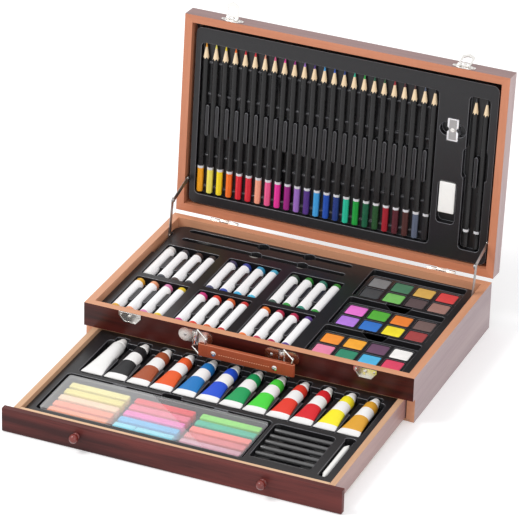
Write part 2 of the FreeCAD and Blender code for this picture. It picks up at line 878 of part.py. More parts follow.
# Upper tray with its crayon cells, brush slots and palette wells
tray_x = inner_x - fit
wells = []
ridges = []
crayon_cores = []
crayon_wraps = []
cell_count = counted(palette_left - cell_left, cell_pitch)
row_count = counted(cell_back - inner_front, cell_row_pitch)
for column in range(cell_count):
    for row in range(row_count):
        x0 = cell_left + column * cell_pitch
        y0 = cell_back - cell_length - row * cell_row_pitch
        wells.append((x0, x0 + cell_width, y0, y0 + cell_length, cell_floor, cell_corner))
        for i in range(sticks_per_cell):
            x = x0 + groove_first + i * groove_pitch
            y = y0 + crayon_offset
            z = cell_floor + seat + crayon_radius
            wrap_y = y + crayon_tip
            core = turned(((0, 0), (0, crayon_core_radius),
                           (crayon_length - crayon_dome, crayon_core_radius),
                           (crayon_length, crayon_core_radius - crayon_dome), (crayon_length, 0)),
                          Vec(x, y, z), Vec(0, 1, 0))
            tube = rod(Vec(x, wrap_y, z), Vec(x, wrap_y + crayon_wrap_length, z), crayon_radius)
            tube = tube.cut(rod(Vec(x, y - skin, z), Vec(x, y + crayon_length, z),
                                crayon_core_radius + fit))
            crayon_cores.append(core)
            crayon_wraps.append(tube)
            if i:
                mid = x - groove_pitch / 2
                ridges.append(slab(mid - ridge_width / 2, mid + ridge_width / 2, y0 + ridge_start,
                                   y0 + ridge_start + ridge_length, cell_floor - skin / 2,
                                   ridge_top, ridge_width / 2))
for y in (slot_back_y, slot_front_y):
    wells.append((slot_left, slot_right, y - slot_width / 2, y + slot_width / 2, slot_floor,
                  slot_width / 2))
    for share in slot_bulge_shares:
        x = slot_left + (slot_right - slot_left) * share
        wells.append((x - slot_bulge_radius, x + slot_bulge_radius, y - slot_bulge_radius,
                      y + slot_bulge_radius, slot_floor, slot_bulge_radius))
palette_trays = []
palette_cakes = []
strips = []
palette_mid = (palette_left + palette_right) / 2 + palette_shift
palette_count = counted(palette_back - inner_front, palette_pitch)
for i in range(palette_count):
    y1 = palette_back - i * palette_pitch
    y0 = y1 - palette_well_length
    wells.append((palette_left, palette_right, y0, y1, palette_floor, palette_corner))
    if i:
        strips.append((y1, y1 + palette_pitch - palette_well_length))
    base = palette_floor + seat
    top = base + palette_thick
    p0 = y0 + gap
    p1 = p0 + palette_length
    tray = slab(palette_mid - palette_width / 2, palette_mid + palette_width / 2, p0, p1, base, top,
                palette_corner)
    row_span = (cakes_per_row - 1) * cake_pitch + cake_width
    for row in range(cake_rows):
        for col in range(cakes_per_row):
            cx = palette_mid - row_span / 2 + col * cake_pitch
            cy = p1 - cake_back_margin - cake_length - row * cake_row_pitch
            well = slab(cx - skin / 2, cx + cake_width + skin / 2, cy - skin / 2,
                        cy + cake_length + skin / 2, top - cake_drop - cake_depth, top + skin,
                        cake_corner)
            cake = slab(cx, cx + cake_width, cy, cy + cake_length, top - cake_drop - cake_depth,
                        top - cake_drop, cake_corner)
            tray = tray.cut(well)
            palette_cakes.append(cake)
    palette_trays.append(tray)
upper_tray = moulding((-tray_x, tray_x, inner_front + fit, inner_back - fit), shelf_top, upper_face,
                      upper_corner, wells, ridges)


def trapezium(y0, y1, grow):
    """Finger notch between two palettes, as a bar of sloping section along y."""
    low = palette_floor + notch_rise - grow
    foot = notch_floor_width / 2 + grow
    head = notch_top_width / 2 + grow
    ring = [Vec(palette_mid - head, y0, upper_face), Vec(palette_mid - foot, y0, low),
            Vec(palette_mid + foot, y0, low), Vec(palette_mid + head, y0, upper_face)]
    return Part.Face(Part.makePolygon(ring + ring[:1])).extrude(Vec(0, y1 - y0, 0))


for y0, y1 in strips:
    liner = trapezium(y0 - skin / 2, y1 + skin / 2, skin)
    upper_tray = upper_tray.fuse(liner).cut(trapezium(y0 - skin, y1 + skin, 0))
notch1 = back_y - stay_notch_room
notch0 = notch1 - stay_notch_length
for side in (-1, 1):
    edge = side * (lid_tray_half + half_width) / 2
    reach_x = (half_width - lid_tray_half) / 2
    liner = box(edge - reach_x - skin, edge + reach_x, notch0 - skin, notch1 + skin, shelf_top,
                upper_face)
    liner = liner.common(box(-tray_x, tray_x, front_y, back_y, 0, upper_face))
    bite = box(edge - reach_x, edge + reach_x, notch0, notch1, shelf_top - skin, upper_face + skin)
    upper_tray = upper_tray.fuse(liner).cut(bite)
upper_tray = upper_tray.removeSplitter()
pieces["upper_tray"] = upper_tray
pieces["crayon_cores"] = grouped(crayon_cores)
pieces["crayon_wrappers"] = grouped(crayon_wraps)
pieces["palette_trays"] = grouped(palette_trays)
pieces["paint_cakes"] = grouped(palette_cakes)

# Brush lying in the front slot, bristles to the left
brush_z = slot_floor + seat + brush_radius
ferrule_at = bristle_length
handle_at = bristle_length + ferrule_length
brush = turned(((0, 0), (0, bristle_width / 4), (ferrule_at / 2, bristle_width / 2),
                (ferrule_at, ferrule_radius), (handle_at, ferrule_radius),
                (handle_at, brush_radius * brush_shoulder_share), (handle_at + ferrule_length, brush_radius),
                (brush_length * brush_waist_at_share, brush_radius * brush_waist_share),
                (brush_length, brush_radius * brush_end_share), (brush_length, 0)),
               Vec(brush_left, slot_front_y, brush_z), Vec(1, 0, 0))
pieces["paint_brush"] = brush

# Lid boards
lid_side = prism(((half_width, 0), (half_width, case_depth), (inner_x, case_depth - wall),
                  (inner_x, wall)), -lid_height, 0)
lid_rear = prism(((half_width, 0), (-half_width, 0), (-inner_x, wall), (inner_x, wall)),
                 -lid_height, 0)
lid_front = prism(((half_width, case_depth), (-half_width, case_depth),
                   (-inner_x, case_depth - wall), (inner_x, case_depth - wall)), -lid_height, 0)
panel_top = lid_height - panel_thick
lid_board = (-inner_x - rebate, inner_x + rebate, wall - rebate, case_depth - wall + rebate)
lid_panel = lid_slab(lid_board, panel_top, lid_height, 0)
lid_panel_cut = lid_slab(lid_board, panel_top, lid_height + skin, 0)

# Latch plates and hasps on the front edge of the lid
pin_s = case_depth + latch_offset
pin_z = -latch_pin_depth
lid_front_cuts = []
latch_plates = []
latch_pins = []
hasps = []
for side in (-1, 1):
    cx = side * latch_spread
    half = latch_plate_width / 2
    centre_z = -(latch_plate_near + latch_plate_depth) / 2
    reach_z = (latch_plate_depth - latch_plate_near) / 2
    short_x = half * latch_plate_share
    short_z = reach_z * latch_plate_share
    body_z = Vec(0, leaf_thick, 0)
    ring = [Vec(cx - half, case_depth, centre_z + short_z),
            Vec(cx - short_x, case_depth, centre_z + reach_z),
            Vec(cx + short_x, case_depth, centre_z + reach_z),
            Vec(cx + half, case_depth, centre_z + short_z),
            Vec(cx + half, case_depth, centre_z - short_z),
            Vec(cx + short_x, case_depth, centre_z - reach_z),
            Vec(cx - short_x, case_depth, centre_z - reach_z),
            Vec(cx - half, case_depth, centre_z - short_z)]
    plate = Part.Face(Part.makePolygon(ring + ring[:1])).extrude(body_z)
    knuckle = rod(Vec(cx - latch_knuckle / 2, pin_s, pin_z), Vec(cx + latch_knuckle / 2, pin_s, pin_z),
                  latch_barrel_radius)
    block = box(cx - latch_knuckle / 2, cx + latch_knuckle / 2, case_depth + leaf_thick / 2, pin_s,
                pin_z - latch_barrel_radius, pin_z + latch_barrel_radius)
    bore = rod(Vec(cx - hasp_width, pin_s, pin_z), Vec(cx + hasp_width, pin_s, pin_z),
               latch_pin_radius + fit)
    plate = fused([plate, knuckle, block]).cut(bore)
    for step in (-1, 1):
        solid, hole = screw(cx + step * catch_screw_x, case_depth + leaf_thick, pin_z,
                            Vec(0, 1, 0), catch_screw_radius)
        lid_screws.append(solid)
        lid_front_cuts.append(hole)
        plate = plate.cut(hole)
    latch_plates.append(plate)
    latch_pins.append(rod(Vec(cx - hasp_width / 2 - fit, pin_s, pin_z),
                          Vec(cx + hasp_width / 2 + fit, pin_s, pin_z), latch_pin_radius))
    half = hasp_width / 2
    shoulder = pin_s + hasp_length - hasp_gable
    outline = ((cx - half, pin_s), (cx + half, pin_s), (cx + half, shoulder),
               (cx, pin_s + hasp_length), (cx - half, shoulder))
    sheet = prism(outline, pin_z - hasp_thick / 2, pin_z + hasp_thick / 2)
    eyes = rod(Vec(cx - half, pin_s, pin_z), Vec(cx + half, pin_s, pin_z), latch_barrel_radius)
    window = slab(cx - half + hasp_bar, cx + half - hasp_bar,
                  pin_s + latch_barrel_radius + hasp_bar + gap, shoulder - hasp_bar / 2,
                  pin_z - hasp_thick, pin_z + hasp_thick, hasp_width)
    window = window.fuse(box(cx - half + hasp_bar, cx + half - hasp_bar,
                             pin_s + latch_barrel_radius + hasp_bar + gap,
                             (pin_s + shoulder) / 2, pin_z - hasp_thick, pin_z + hasp_thick))
    middle = box(cx - latch_knuckle / 2 - gap, cx + latch_knuckle / 2 + gap,
                 pin_s - latch_barrel_radius - skin, pin_s + latch_barrel_radius + gap,
                 pin_z - latch_barrel_radius - skin, pin_z + latch_barrel_radius + skin)
    hasp = fused([sheet, eyes]).cut([window, middle, bore])
    if side > 0:
        hasp = turned_by(hasp, Vec(cx, pin_s, pin_z), x_axis, -hasp_right_back)
    hasps.append(hasp)
pieces["lid_front_rail"] = opened(lid_front.cut([lid_panel_cut] + lid_front_cuts))
pieces["lid_back_rail"] = opened(lid_rear.cut([lid_panel_cut] + lid_back_cuts))
lid_side = lid_side.cut(lid_panel_cut)
right_rail = closed(lid_side).cut(lid_pin_hole)
right_rail = turned_by(right_rail, hinge_point, x_axis, -lid_angle)
pieces["lid_right_rail"] = right_rail
pieces["lid_left_rail"] = mirrored(right_rail)
pieces["lid_panel"] = opened(lid_panel)
pieces["latch_plates"] = opened(grouped(latch_plates))
pieces["latch_pins"] = opened(grouped(latch_pins))
pieces["hasp_left"] = opened(hasps[0])
pieces["hasp_right"] = opened(hasps[1])
pieces["hinge_upper_leaves"] = opened(grouped(upper_leaves))
pieces["lid_screws"] = opened(grouped(lid_screws))

# Lid tray
lid_wells = []
lid_ridges = []
x0, x1, s0, s1 = pencil_well
lid_wells.append((x0, x1, s0, s1, -lid_floor, lid_well_corner))
pencil_count = counted(x1 - pencil_margin - pencil_first, pencil_pitch) + 1
finger_s = [pencil_near + pencil_length * share for share in finger_ridge_shares]
rib_s = [pencil_near + pencil_length * share for share in cross_rib_shares]
for s in rib_s:
    lid_ridges.append(box(x0 - skin / 2, x1 + skin / 2, s - cross_rib_width / 2,
                          s + cross_rib_width / 2, -lid_floor - skin / 2, -lid_floor - tiny))
for i in range(1, pencil_count):
    x = pencil_first + (i - 1 / 2) * pencil_pitch
    lid_ridges.append(lid_slab((x - finger_ridge_width / 2, x + finger_ridge_width / 2,
                                finger_s[0], finger_s[1]), lid_face + skin,
                               lid_floor + skin / 2, finger_ridge_width / 2))
    for s in rib_s:
        lid_ridges.append(box(x - finger_ridge_width / 2, x + finger_ridge_width / 2,
                              s - cross_rib_width / 2, s + cross_rib_width / 2,
                              -lid_floor - skin / 2, -cross_rib_depth))
x0, x1, s0, s1 = graphite_well
lid_wells.append((x0, x1, s0, s1, -lid_floor, lid_well_corner))
bulge_s = [graphite_near + graphite_length * share for share in graphite_bulge_shares]
lid_wells.append((x0 - graphite_bulge, x1 + graphite_bulge, bulge_s[0], bulge_s[1], -lid_floor,
                  lid_well_corner))
ridge_s = [graphite_near + graphite_length * share for share in graphite_ridge_shares]
for i in range(1, graphite_count):
    x = graphite_first + (i - 1 / 2) * graphite_pitch
    lid_ridges.append(lid_slab((x - finger_ridge_width / 2, x + finger_ridge_width / 2,
                                ridge_s[0], ridge_s[1]), lid_face + skin,
                               lid_floor + skin / 2, finger_ridge_width / 2))
reach_x = sharpener_width / 2 + sharpener_play
reach_s = sharpener_length / 2 + sharpener_play
lid_wells.append((sharpener_x - reach_x, sharpener_x + reach_x, sharpener_s - reach_s,
                  sharpener_s + reach_s, -lid_floor - skin, skin))
lid_wells.append((sharpener_x - sharpener_pit_radius, sharpener_x + sharpener_pit_radius,
                  sharpener_s - sharpener_pit_radius / 2, sharpener_s + sharpener_pit_radius / 2,
                  -lid_floor, sharpener_pit_radius))
lid_wells.append(eraser_well + (-lid_floor - skin, lid_well_corner))
lid_tray = moulding((-lid_tray_half, lid_tray_half, lid_tray_near, lid_tray_far), -panel_top,
                    -lid_face, lid_tray_corner, lid_wells, lid_ridges)
flange_x = inner_x - fit
flange = box(-flange_x, flange_x, wall + fit, case_depth - wall - fit, -lid_flange - skin,
             -lid_flange)
flange = flange.cut(box(-lid_tray_half + skin / 2, lid_tray_half - skin / 2,
                        lid_tray_near + skin / 2, lid_tray_far - skin / 2, -lid_height, 0))
pieces["lid_tray"] = opened(lid_tray.fuse(flange).removeSplitter())


# Pencils: six-sided bodies sharpened to a point
def pencil(radius, length, point):
    """Six-sided pencil lying along s with its point at the far end."""
    ring = [Vec(radius * math.cos(math.radians(60 * k)), 0, radius * math.sin(math.radians(60 * k)))
            for k in range(6)]
    bar = Part.Face(Part.makePolygon(ring + ring[:1])).extrude(Vec(0, length, 0))
    envelope = turned(((0, 0), (0, radius + skin), (length - point, radius + skin),
                       (length - point, radius), (length, pencil_tip_radius), (length, 0)),
                      Vec(0, 0, 0), Vec(0, 1, 0))
    return bar.common(envelope)


flat = math.cos(math.radians(30))
colour = pencil(pencil_radius, pencil_length, pencil_point)
colour_z = -lid_floor + seat + pencil_radius * flat
pieces["colour_pencils"] = opened(grouped(
    [moved(colour, pencil_first + i * pencil_pitch, pencil_near, colour_z)
     for i in range(pencil_count)]))
graphite = pencil(graphite_radius, graphite_length, pencil_point)
graphite_z = -lid_floor + seat + graphite_radius * flat
pieces["graphite_pencils"] = opened(grouped(
    [moved(graphite, graphite_first + i * graphite_pitch, graphite_near, graphite_z)
     for i in range(graphite_count)]))

# Sharpener, its blade and screw, and the eraser
mid_x = sharpener_x
mid_s = sharpener_s
x0 = mid_x - sharpener_width / 2
x1 = mid_x + sharpener_width / 2
s0 = mid_s - sharpener_length / 2
s1 = mid_s + sharpener_length / 2
base = -lid_floor - skin + seat
top = base + sharpener_thick
body = slab(x0, x1, s0, s1, base, top, skin)
cone = turned(((0, 0), (0, pencil_radius), (s1 - s0, pencil_tip_radius), (s1 - s0, 0)),
              Vec(mid_x, s0 - tiny, base + sharpener_thick / 2), Vec(0, 1, 0))
waist = [disc(x, mid_s, base - skin, top + skin, (x1 - x0) / 4)
         for x in (x0 - (x1 - x0) / 10, x1 + (x1 - x0) / 10)]
body = body.cut([cone] + waist)
blade_seat = box(mid_x - blade_width / 2 - fit, mid_x + blade_width / 2 + fit,
                 mid_s - blade_length / 2 - fit, mid_s + blade_length / 2 + fit,
                 top - blade_thick, top + skin)
blade = box(mid_x - blade_width / 2, mid_x + blade_width / 2, mid_s - blade_length / 2,
            mid_s + blade_length / 2, top - blade_thick, top)
stud = disc(mid_x, mid_s, top - blade_stud_length, top, blade_screw_radius / 2)
stud_hole = disc(mid_x, mid_s, top - blade_stud_length - fit, top + skin,
                 blade_screw_radius / 2 + fit)
stud_head = disc(mid_x, mid_s, top, top + blade_screw_height, blade_screw_radius)
stud_slot = box(mid_x - blade_screw_radius, mid_x + blade_screw_radius, mid_s - screw_slot / 2,
                mid_s + screw_slot / 2, top + blade_screw_height / 2, top + skin)
pieces["sharpener_body"] = opened(body.cut([blade_seat, stud_hole]))
pieces["sharpener_blade"] = opened(blade.cut(stud_hole))
pieces["sharpener_screw"] = opened(stud.fuse(stud_head).cut(stud_slot))
eraser = slab(eraser_x - eraser_width / 2, eraser_x + eraser_width / 2, eraser_near,
              eraser_near + eraser_length, base, base + eraser_thick, eraser_corner)
pieces["eraser"] = opened(eraser)

# Drawer boards
pieces["drawer_face"] = box(-half_width, half_width, face_front, face_back, face_bottom, face_top)
drawer_x = drawer_inner + drawer_rebate
rebate_cut = box(-drawer_x, drawer_x, face_back - skin, drawer_rear - drawer_rebate,
                 drawer_bottom_z - skin, drawer_seat)
drawer_side = box(drawer_inner, drawer_half, face_back, drawer_stop, drawer_bottom_z, face_top)
drawer_side = drawer_side.cut(rebate_cut)
pieces["drawer_right_side"] = drawer_side
pieces["drawer_left_side"] = mirrored(drawer_side)
pieces["drawer_back"] = box(-drawer_half, drawer_half, drawer_stop, drawer_rear, drawer_bottom_z,
                            drawer_back_top).cut(rebate_cut)
pieces["drawer_inner_front"] = box(-drawer_inner, drawer_inner, face_back,
                                   face_back + inner_front_thick, drawer_seat, face_top)
pieces["drawer_bottom"] = box(-drawer_x, drawer_x, face_back, drawer_rear - drawer_rebate,
                              drawer_bottom_z, drawer_seat)
knobs = []
knob_sunk = knob_radius * knob_sink_share
for side in (-1, 1):
    ball_y = face_front - knob_neck_length - knob_sunk
    ball = Part.makeSphere(knob_radius, Vec(side * knob_spread, ball_y, knob_height))
    neck = rod(Vec(side * knob_spread, face_front, knob_height),
               Vec(side * knob_spread, ball_y, knob_height), knob_neck_radius)
    collar = rod(Vec(side * knob_spread, face_front, knob_height),
                 Vec(side * knob_spread, face_front - knob_neck_length / 2, knob_height),
                 knob_sunk)
    knobs.append(fused([ball, neck, collar]))
pieces["drawer_knobs"] = grouped(knobs)

# Drawer tray
finger_x = (box_body[0] + box_body[1]) / 2 + box_finger_shift
box_finger = (finger_x - box_finger_width / 2, finger_x + box_finger_width / 2,
              box_well[3] - box_finger_reach / 2, box_well[3] + box_finger_reach)
stump_pit = (stump_x - stump_pit_width / 2, stump_x + stump_pit_width / 2,
             stump_well[3] - stump_pit_reach, stump_well[3] + stump_pit_reach)
drawer_wells = []
for bounds, floor, corner in ((box_well, box_floor, drawer_well_corner),
                              (box_finger, box_floor, skin * 2),
                              (charcoal_well, charcoal_floor, drawer_well_corner),
                              (stump_well, stump_floor, skin * 3),
                              (stump_pit, stump_floor - skin, drawer_well_corner),
                              (tube_well, tube_floor, drawer_well_corner)):
    drawer_wells.append(bounds + (floor, corner))
tube_count = counted(tube_well[1] - tube_well[0], tube_pitch)
recess_half = tube_cap_radius + tube_recess_play
for i in range(tube_count):
    x = tube_first + i * tube_pitch
    drawer_wells.append((x - recess_half, x + recess_half, tube_well[3] - tube_cap_length,
                         drawer_stop - tube_recess_back, tube_floor, skin * 3))
clips = []
for side in (-1, 1):
    x = (box_body[0] + box_body[1]) / 2 + side * box_clip_spread
    clips.append(box(x - box_clip_width / 2, x + box_clip_width / 2, box_body[3] + gap,
                     box_well[3] + skin / 2, box_floor - skin / 2, drawer_face_z - skin))
clips.append(box(charcoal_well[0] + charcoal_zone_inset, charcoal_well[1] - charcoal_zone_inset,
                 charcoal_well[2] - skin / 2, charcoal_well[3] + skin / 2,
                 charcoal_floor - skin / 2, charcoal_zone_top))

# The tubes rest on their shoulders and, through their crimps, on a ledge in front
body_end = tube_length - tube_cap_length
shoulder_at = body_end - tube_shoulder
tube_drop = tube_crimp_z - (tube_floor + seat + tube_radius)
tube_slope = math.atan2(tube_drop, shoulder_at)
ledge_end = tube_crimp_y + ledge_reach
ledge_top = (tube_crimp_z - tube_crimp_thick / 2 / math.cos(tube_slope)
             - ledge_reach * math.tan(tube_slope) - seat)
clips.append(box(tube_well[0] - skin / 2, tube_well[1] + skin / 2, tube_well[2] - skin / 2,
                 ledge_end, tube_floor - skin / 2, ledge_top))
wedge_y = tube_well[2] + wedge_length
shelf_z = drawer_seat + tray_room * wedge_shelf_share
for i in range(1, tube_count):
    x = tube_first + (i - 1 / 2) * tube_pitch
    ring = ((x - wedge_point, tube_well[2] - skin / 2), (x - wedge_point, ledge_end),
            (x - wedge_left, wedge_y), (x + wedge_right, wedge_y),
            (x + wedge_right, tube_well[2] - skin / 2))
    clips.append(prism(ring, tube_floor - skin / 2, drawer_face_z))
    clips.append(box(x - wedge_left, x + wedge_left, wedge_y - skin / 2, tube_well[3] + skin / 2,
                     tube_floor - skin / 2, shelf_z))
pieces["drawer_tray"] = moulding((-drawer_inner + fit, drawer_inner - fit, tray_front + fit,
                                  drawer_stop - fit),
                                 drawer_seat, drawer_face_z, drawer_tray_corner, drawer_wells, clips)

# Pastel box with a clear cover
x0, x1, y0, y1 = box_body
base = box_floor + seat
split = base + box_height - box_cover * 2
shell = slab(x0, x1, y0, y1, base, split, box_corner)
room = slab(x0 + box_cover, x1 - box_cover, y0 + box_cover, y1 - box_cover, base + box_cover,
            split + skin, box_corner)
pieces["pastel_box_base"] = shell.cut(room)
lid_shell = slab(x0, x1, y0, y1, split + tiny, base + box_height, box_corner)
lid_room = slab(x0 + box_cover, x1 - box_cover, y0 + box_cover, y1 - box_cover, split - skin,
                base + box_height - box_cover, box_corner)
pieces["pastel_box_cover"] = lid_shell.cut(lid_room)
pastels = []
pastel_z = base + box_cover + seat
column_pitch = (x1 - x0 - pastel_left_room - pastel_right_room + pastel_gap) / pastel_columns
pastel_rows = counted(y1 - y0 - pastel_back_room - pastel_front_room, pastel_pitch) + 1
for column in range(pastel_columns):
    left = x0 + pastel_left_room + column * column_pitch
    right = left + column_pitch - pastel_gap
    for i in range(pastel_rows):
        y = y1 - pastel_back_room - i * pastel_pitch
        spans = [(left, right)]
        if column == pastel_broken_column and i == pastel_rows - 1:
            spans = [(left, left + pastel_break), (left + pastel_break + skin, right)]
        for a, b in spans:
            pastels.append(box(a, b, y - pastel_side / 2, y + pastel_side / 2, pastel_z,
                               pastel_z + pastel_side))
pieces["pastel_sticks"] = grouped(pastels)

# Charcoal sticks and the blending stump
charcoals = []
charcoal_left = charcoal_well[0] + charcoal_play
charcoal_right = charcoal_well[1] - charcoal_play
charcoal_first = charcoal_well[3] - charcoal_margin
charcoal_count = counted(charcoal_first - charcoal_well[2] - charcoal_radius, charcoal_pitch) + 1
for i in range(charcoal_count):
    y = charcoal_first - i * charcoal_pitch
    z = charcoal_zone_top + seat + charcoal_radius
    charcoals.append(rod(Vec(charcoal_left, y, z), Vec(charcoal_right, y, z), charcoal_radius))
pieces["charcoal_sticks"] = grouped(charcoals)
stump_near = stump_well[2] + stump_play
stump_length = stump_well[3] - stump_play - stump_near
stump_axis = stump_floor + seat + stump_radius
pieces["blending_stump"] = turned(((0, 0), (stump_tip, stump_radius),
                                   (stump_length - stump_tip, stump_radius),
                                   (stump_length, skin / 2), (stump_length, 0)),
                                  Vec(stump_x, stump_near, stump_axis), Vec(0, 1, 0))


# Paint tubes: folded crimp, round shoulder and tapered cap
def oval(y, half_x, half_z):
    """Upright oval outline across the tube."""
    angles = [math.tau * k / tube_facets for k in range(tube_facets)]
    ring = [Vec(half_x * math.cos(t), y, half_z * math.sin(t)) for t in angles]
    return Part.makePolygon(ring + ring[:1])


span = shoulder_at - tube_crimp_length
half_fold = tube_crimp_width / 2
rings = [oval(0, half_fold, tube_crimp_thick / 2),
         oval(tube_crimp_length, half_fold, tube_crimp_thick / 2)]
rings += [oval(tube_crimp_length + span * along, half_fold * wide, tube_radius * high)
          for along, wide, high in zip(tube_along_shares, tube_width_shares, tube_height_shares)]
rings += [oval(shoulder_at, tube_radius, tube_radius),
          oval(body_end, tube_neck_radius, tube_neck_radius)]
tube_body = Part.makeLoft(rings, True, True)
cap = turned(((0, 0), (0, tube_cap_radius), (tube_cap_band, tube_cap_radius),
              (tube_cap_length, tube_cap_tip_radius), (tube_cap_length, 0)),
             Vec(0, body_end, 0), Vec(0, 1, 0))
tube_bodies = []
tube_caps = []
for i in range(tube_count):
    for solids, shape in ((tube_bodies, tube_body), (tube_caps, cap)):
        tilted = turned_by(shape, Vec(0, 0, 0), x_axis, -math.degrees(tube_slope))
        solids.append(moved(tilted, tube_first + i * tube_pitch, tube_crimp_y, tube_crimp_z))
pieces["tube_bodies"] = grouped(tube_bodies)
pieces["tube_caps"] = grouped(tube_caps)

# Write every piece
os.makedirs("parts", exist_ok=True)
for name, shape in sorted(pieces.items()):
    shape.exportStep("parts/" + name + ".step")
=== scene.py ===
"""Looks of an open wooden art case: lid of pencils, upper tray and pulled-out drawer.

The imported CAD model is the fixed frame.  Boards, trays and metalwork are the CAD
nodes with softened edges and procedural finishes; the contents, the strap, the
rivets and the knobs are built here as finer meshes that stand for their nodes.
"""

from __future__ import annotations

import json
import logging
import math
import random
from dataclasses import dataclass, field
from enum import Enum
from typing import Callable, Iterable, Sequence

import bmesh
import bpy
from mathutils import Matrix, Vector

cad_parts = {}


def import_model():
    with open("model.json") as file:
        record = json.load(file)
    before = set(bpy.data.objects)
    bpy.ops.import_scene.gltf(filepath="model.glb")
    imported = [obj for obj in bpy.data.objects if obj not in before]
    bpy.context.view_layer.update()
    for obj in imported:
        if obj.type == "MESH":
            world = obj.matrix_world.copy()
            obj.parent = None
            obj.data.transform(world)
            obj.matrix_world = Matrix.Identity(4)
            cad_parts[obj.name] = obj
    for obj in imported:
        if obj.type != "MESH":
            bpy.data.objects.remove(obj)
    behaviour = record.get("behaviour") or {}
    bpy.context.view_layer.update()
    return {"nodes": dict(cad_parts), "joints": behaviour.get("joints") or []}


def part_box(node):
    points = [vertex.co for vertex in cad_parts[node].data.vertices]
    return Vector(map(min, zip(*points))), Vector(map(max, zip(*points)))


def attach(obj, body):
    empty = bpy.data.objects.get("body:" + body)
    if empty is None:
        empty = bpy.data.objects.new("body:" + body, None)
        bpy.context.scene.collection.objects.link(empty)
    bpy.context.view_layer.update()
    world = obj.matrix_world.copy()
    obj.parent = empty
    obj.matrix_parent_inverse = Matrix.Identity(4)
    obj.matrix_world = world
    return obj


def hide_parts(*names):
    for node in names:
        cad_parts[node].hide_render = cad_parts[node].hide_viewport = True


LOG = logging.getLogger("art_case")
MM = 0.001
Colour = tuple[float, float, float]
Point = tuple[float, float, float]
Outline = list[tuple[float, float]]
Node = bpy.types.Node
Socket = bpy.types.NodeSocket
NodeTree = bpy.types.NodeTree
Material = bpy.types.Material
WHITE: Colour = (1.0, 1.0, 1.0)


def srgb(red: int, green: int, blue: int) -> Colour:
    """Linear colour of an 8-bit screen colour.

    Args:
        red, green, blue: values from 0 to 255.

    Returns:
        The three linear components.
    """
    def linear(value: int) -> float:
        """One component made linear."""
        c = value / 255
        return c / 12.92 if c <= 0.04045 else ((c + 0.055) / 1.055) ** 2.4

    return linear(red), linear(green), linear(blue)


def palette(rows: Iterable[tuple[int, int, int]]) -> tuple[Colour, ...]:
    """Linear colours of a row of screen colours."""
    return tuple(srgb(*row) for row in rows)


class Grain(Enum):
    """Axis that the grain or brushing of a piece runs along."""

    X = (0.05, 1.0, 1.0)
    Y = (1.0, 0.05, 1.0)
    Z = (1.0, 1.0, 0.05)
    NONE = (1.0, 1.0, 1.0)


class Side(Enum):
    """Way that the outer face of another colour looks: a stain, painted paler on some boards as a sheen of
    the light that falls on them; the lid's ones lean with it.
    """

    LEFT = (-1.0, 0.0, 0.0)
    RIGHT = (1.0, 0.0, 0.0)
    FRONT = (0.0, -1.0, 0.0)
    BACK = (0.0, 1.0, 0.0)
    LID_TOP = (0.0, 0.07, 1.0)
    LID_BOTTOM = (0.0, -0.07, -1.0)
    LID_BACK = (0.0, 1.0, -0.07)


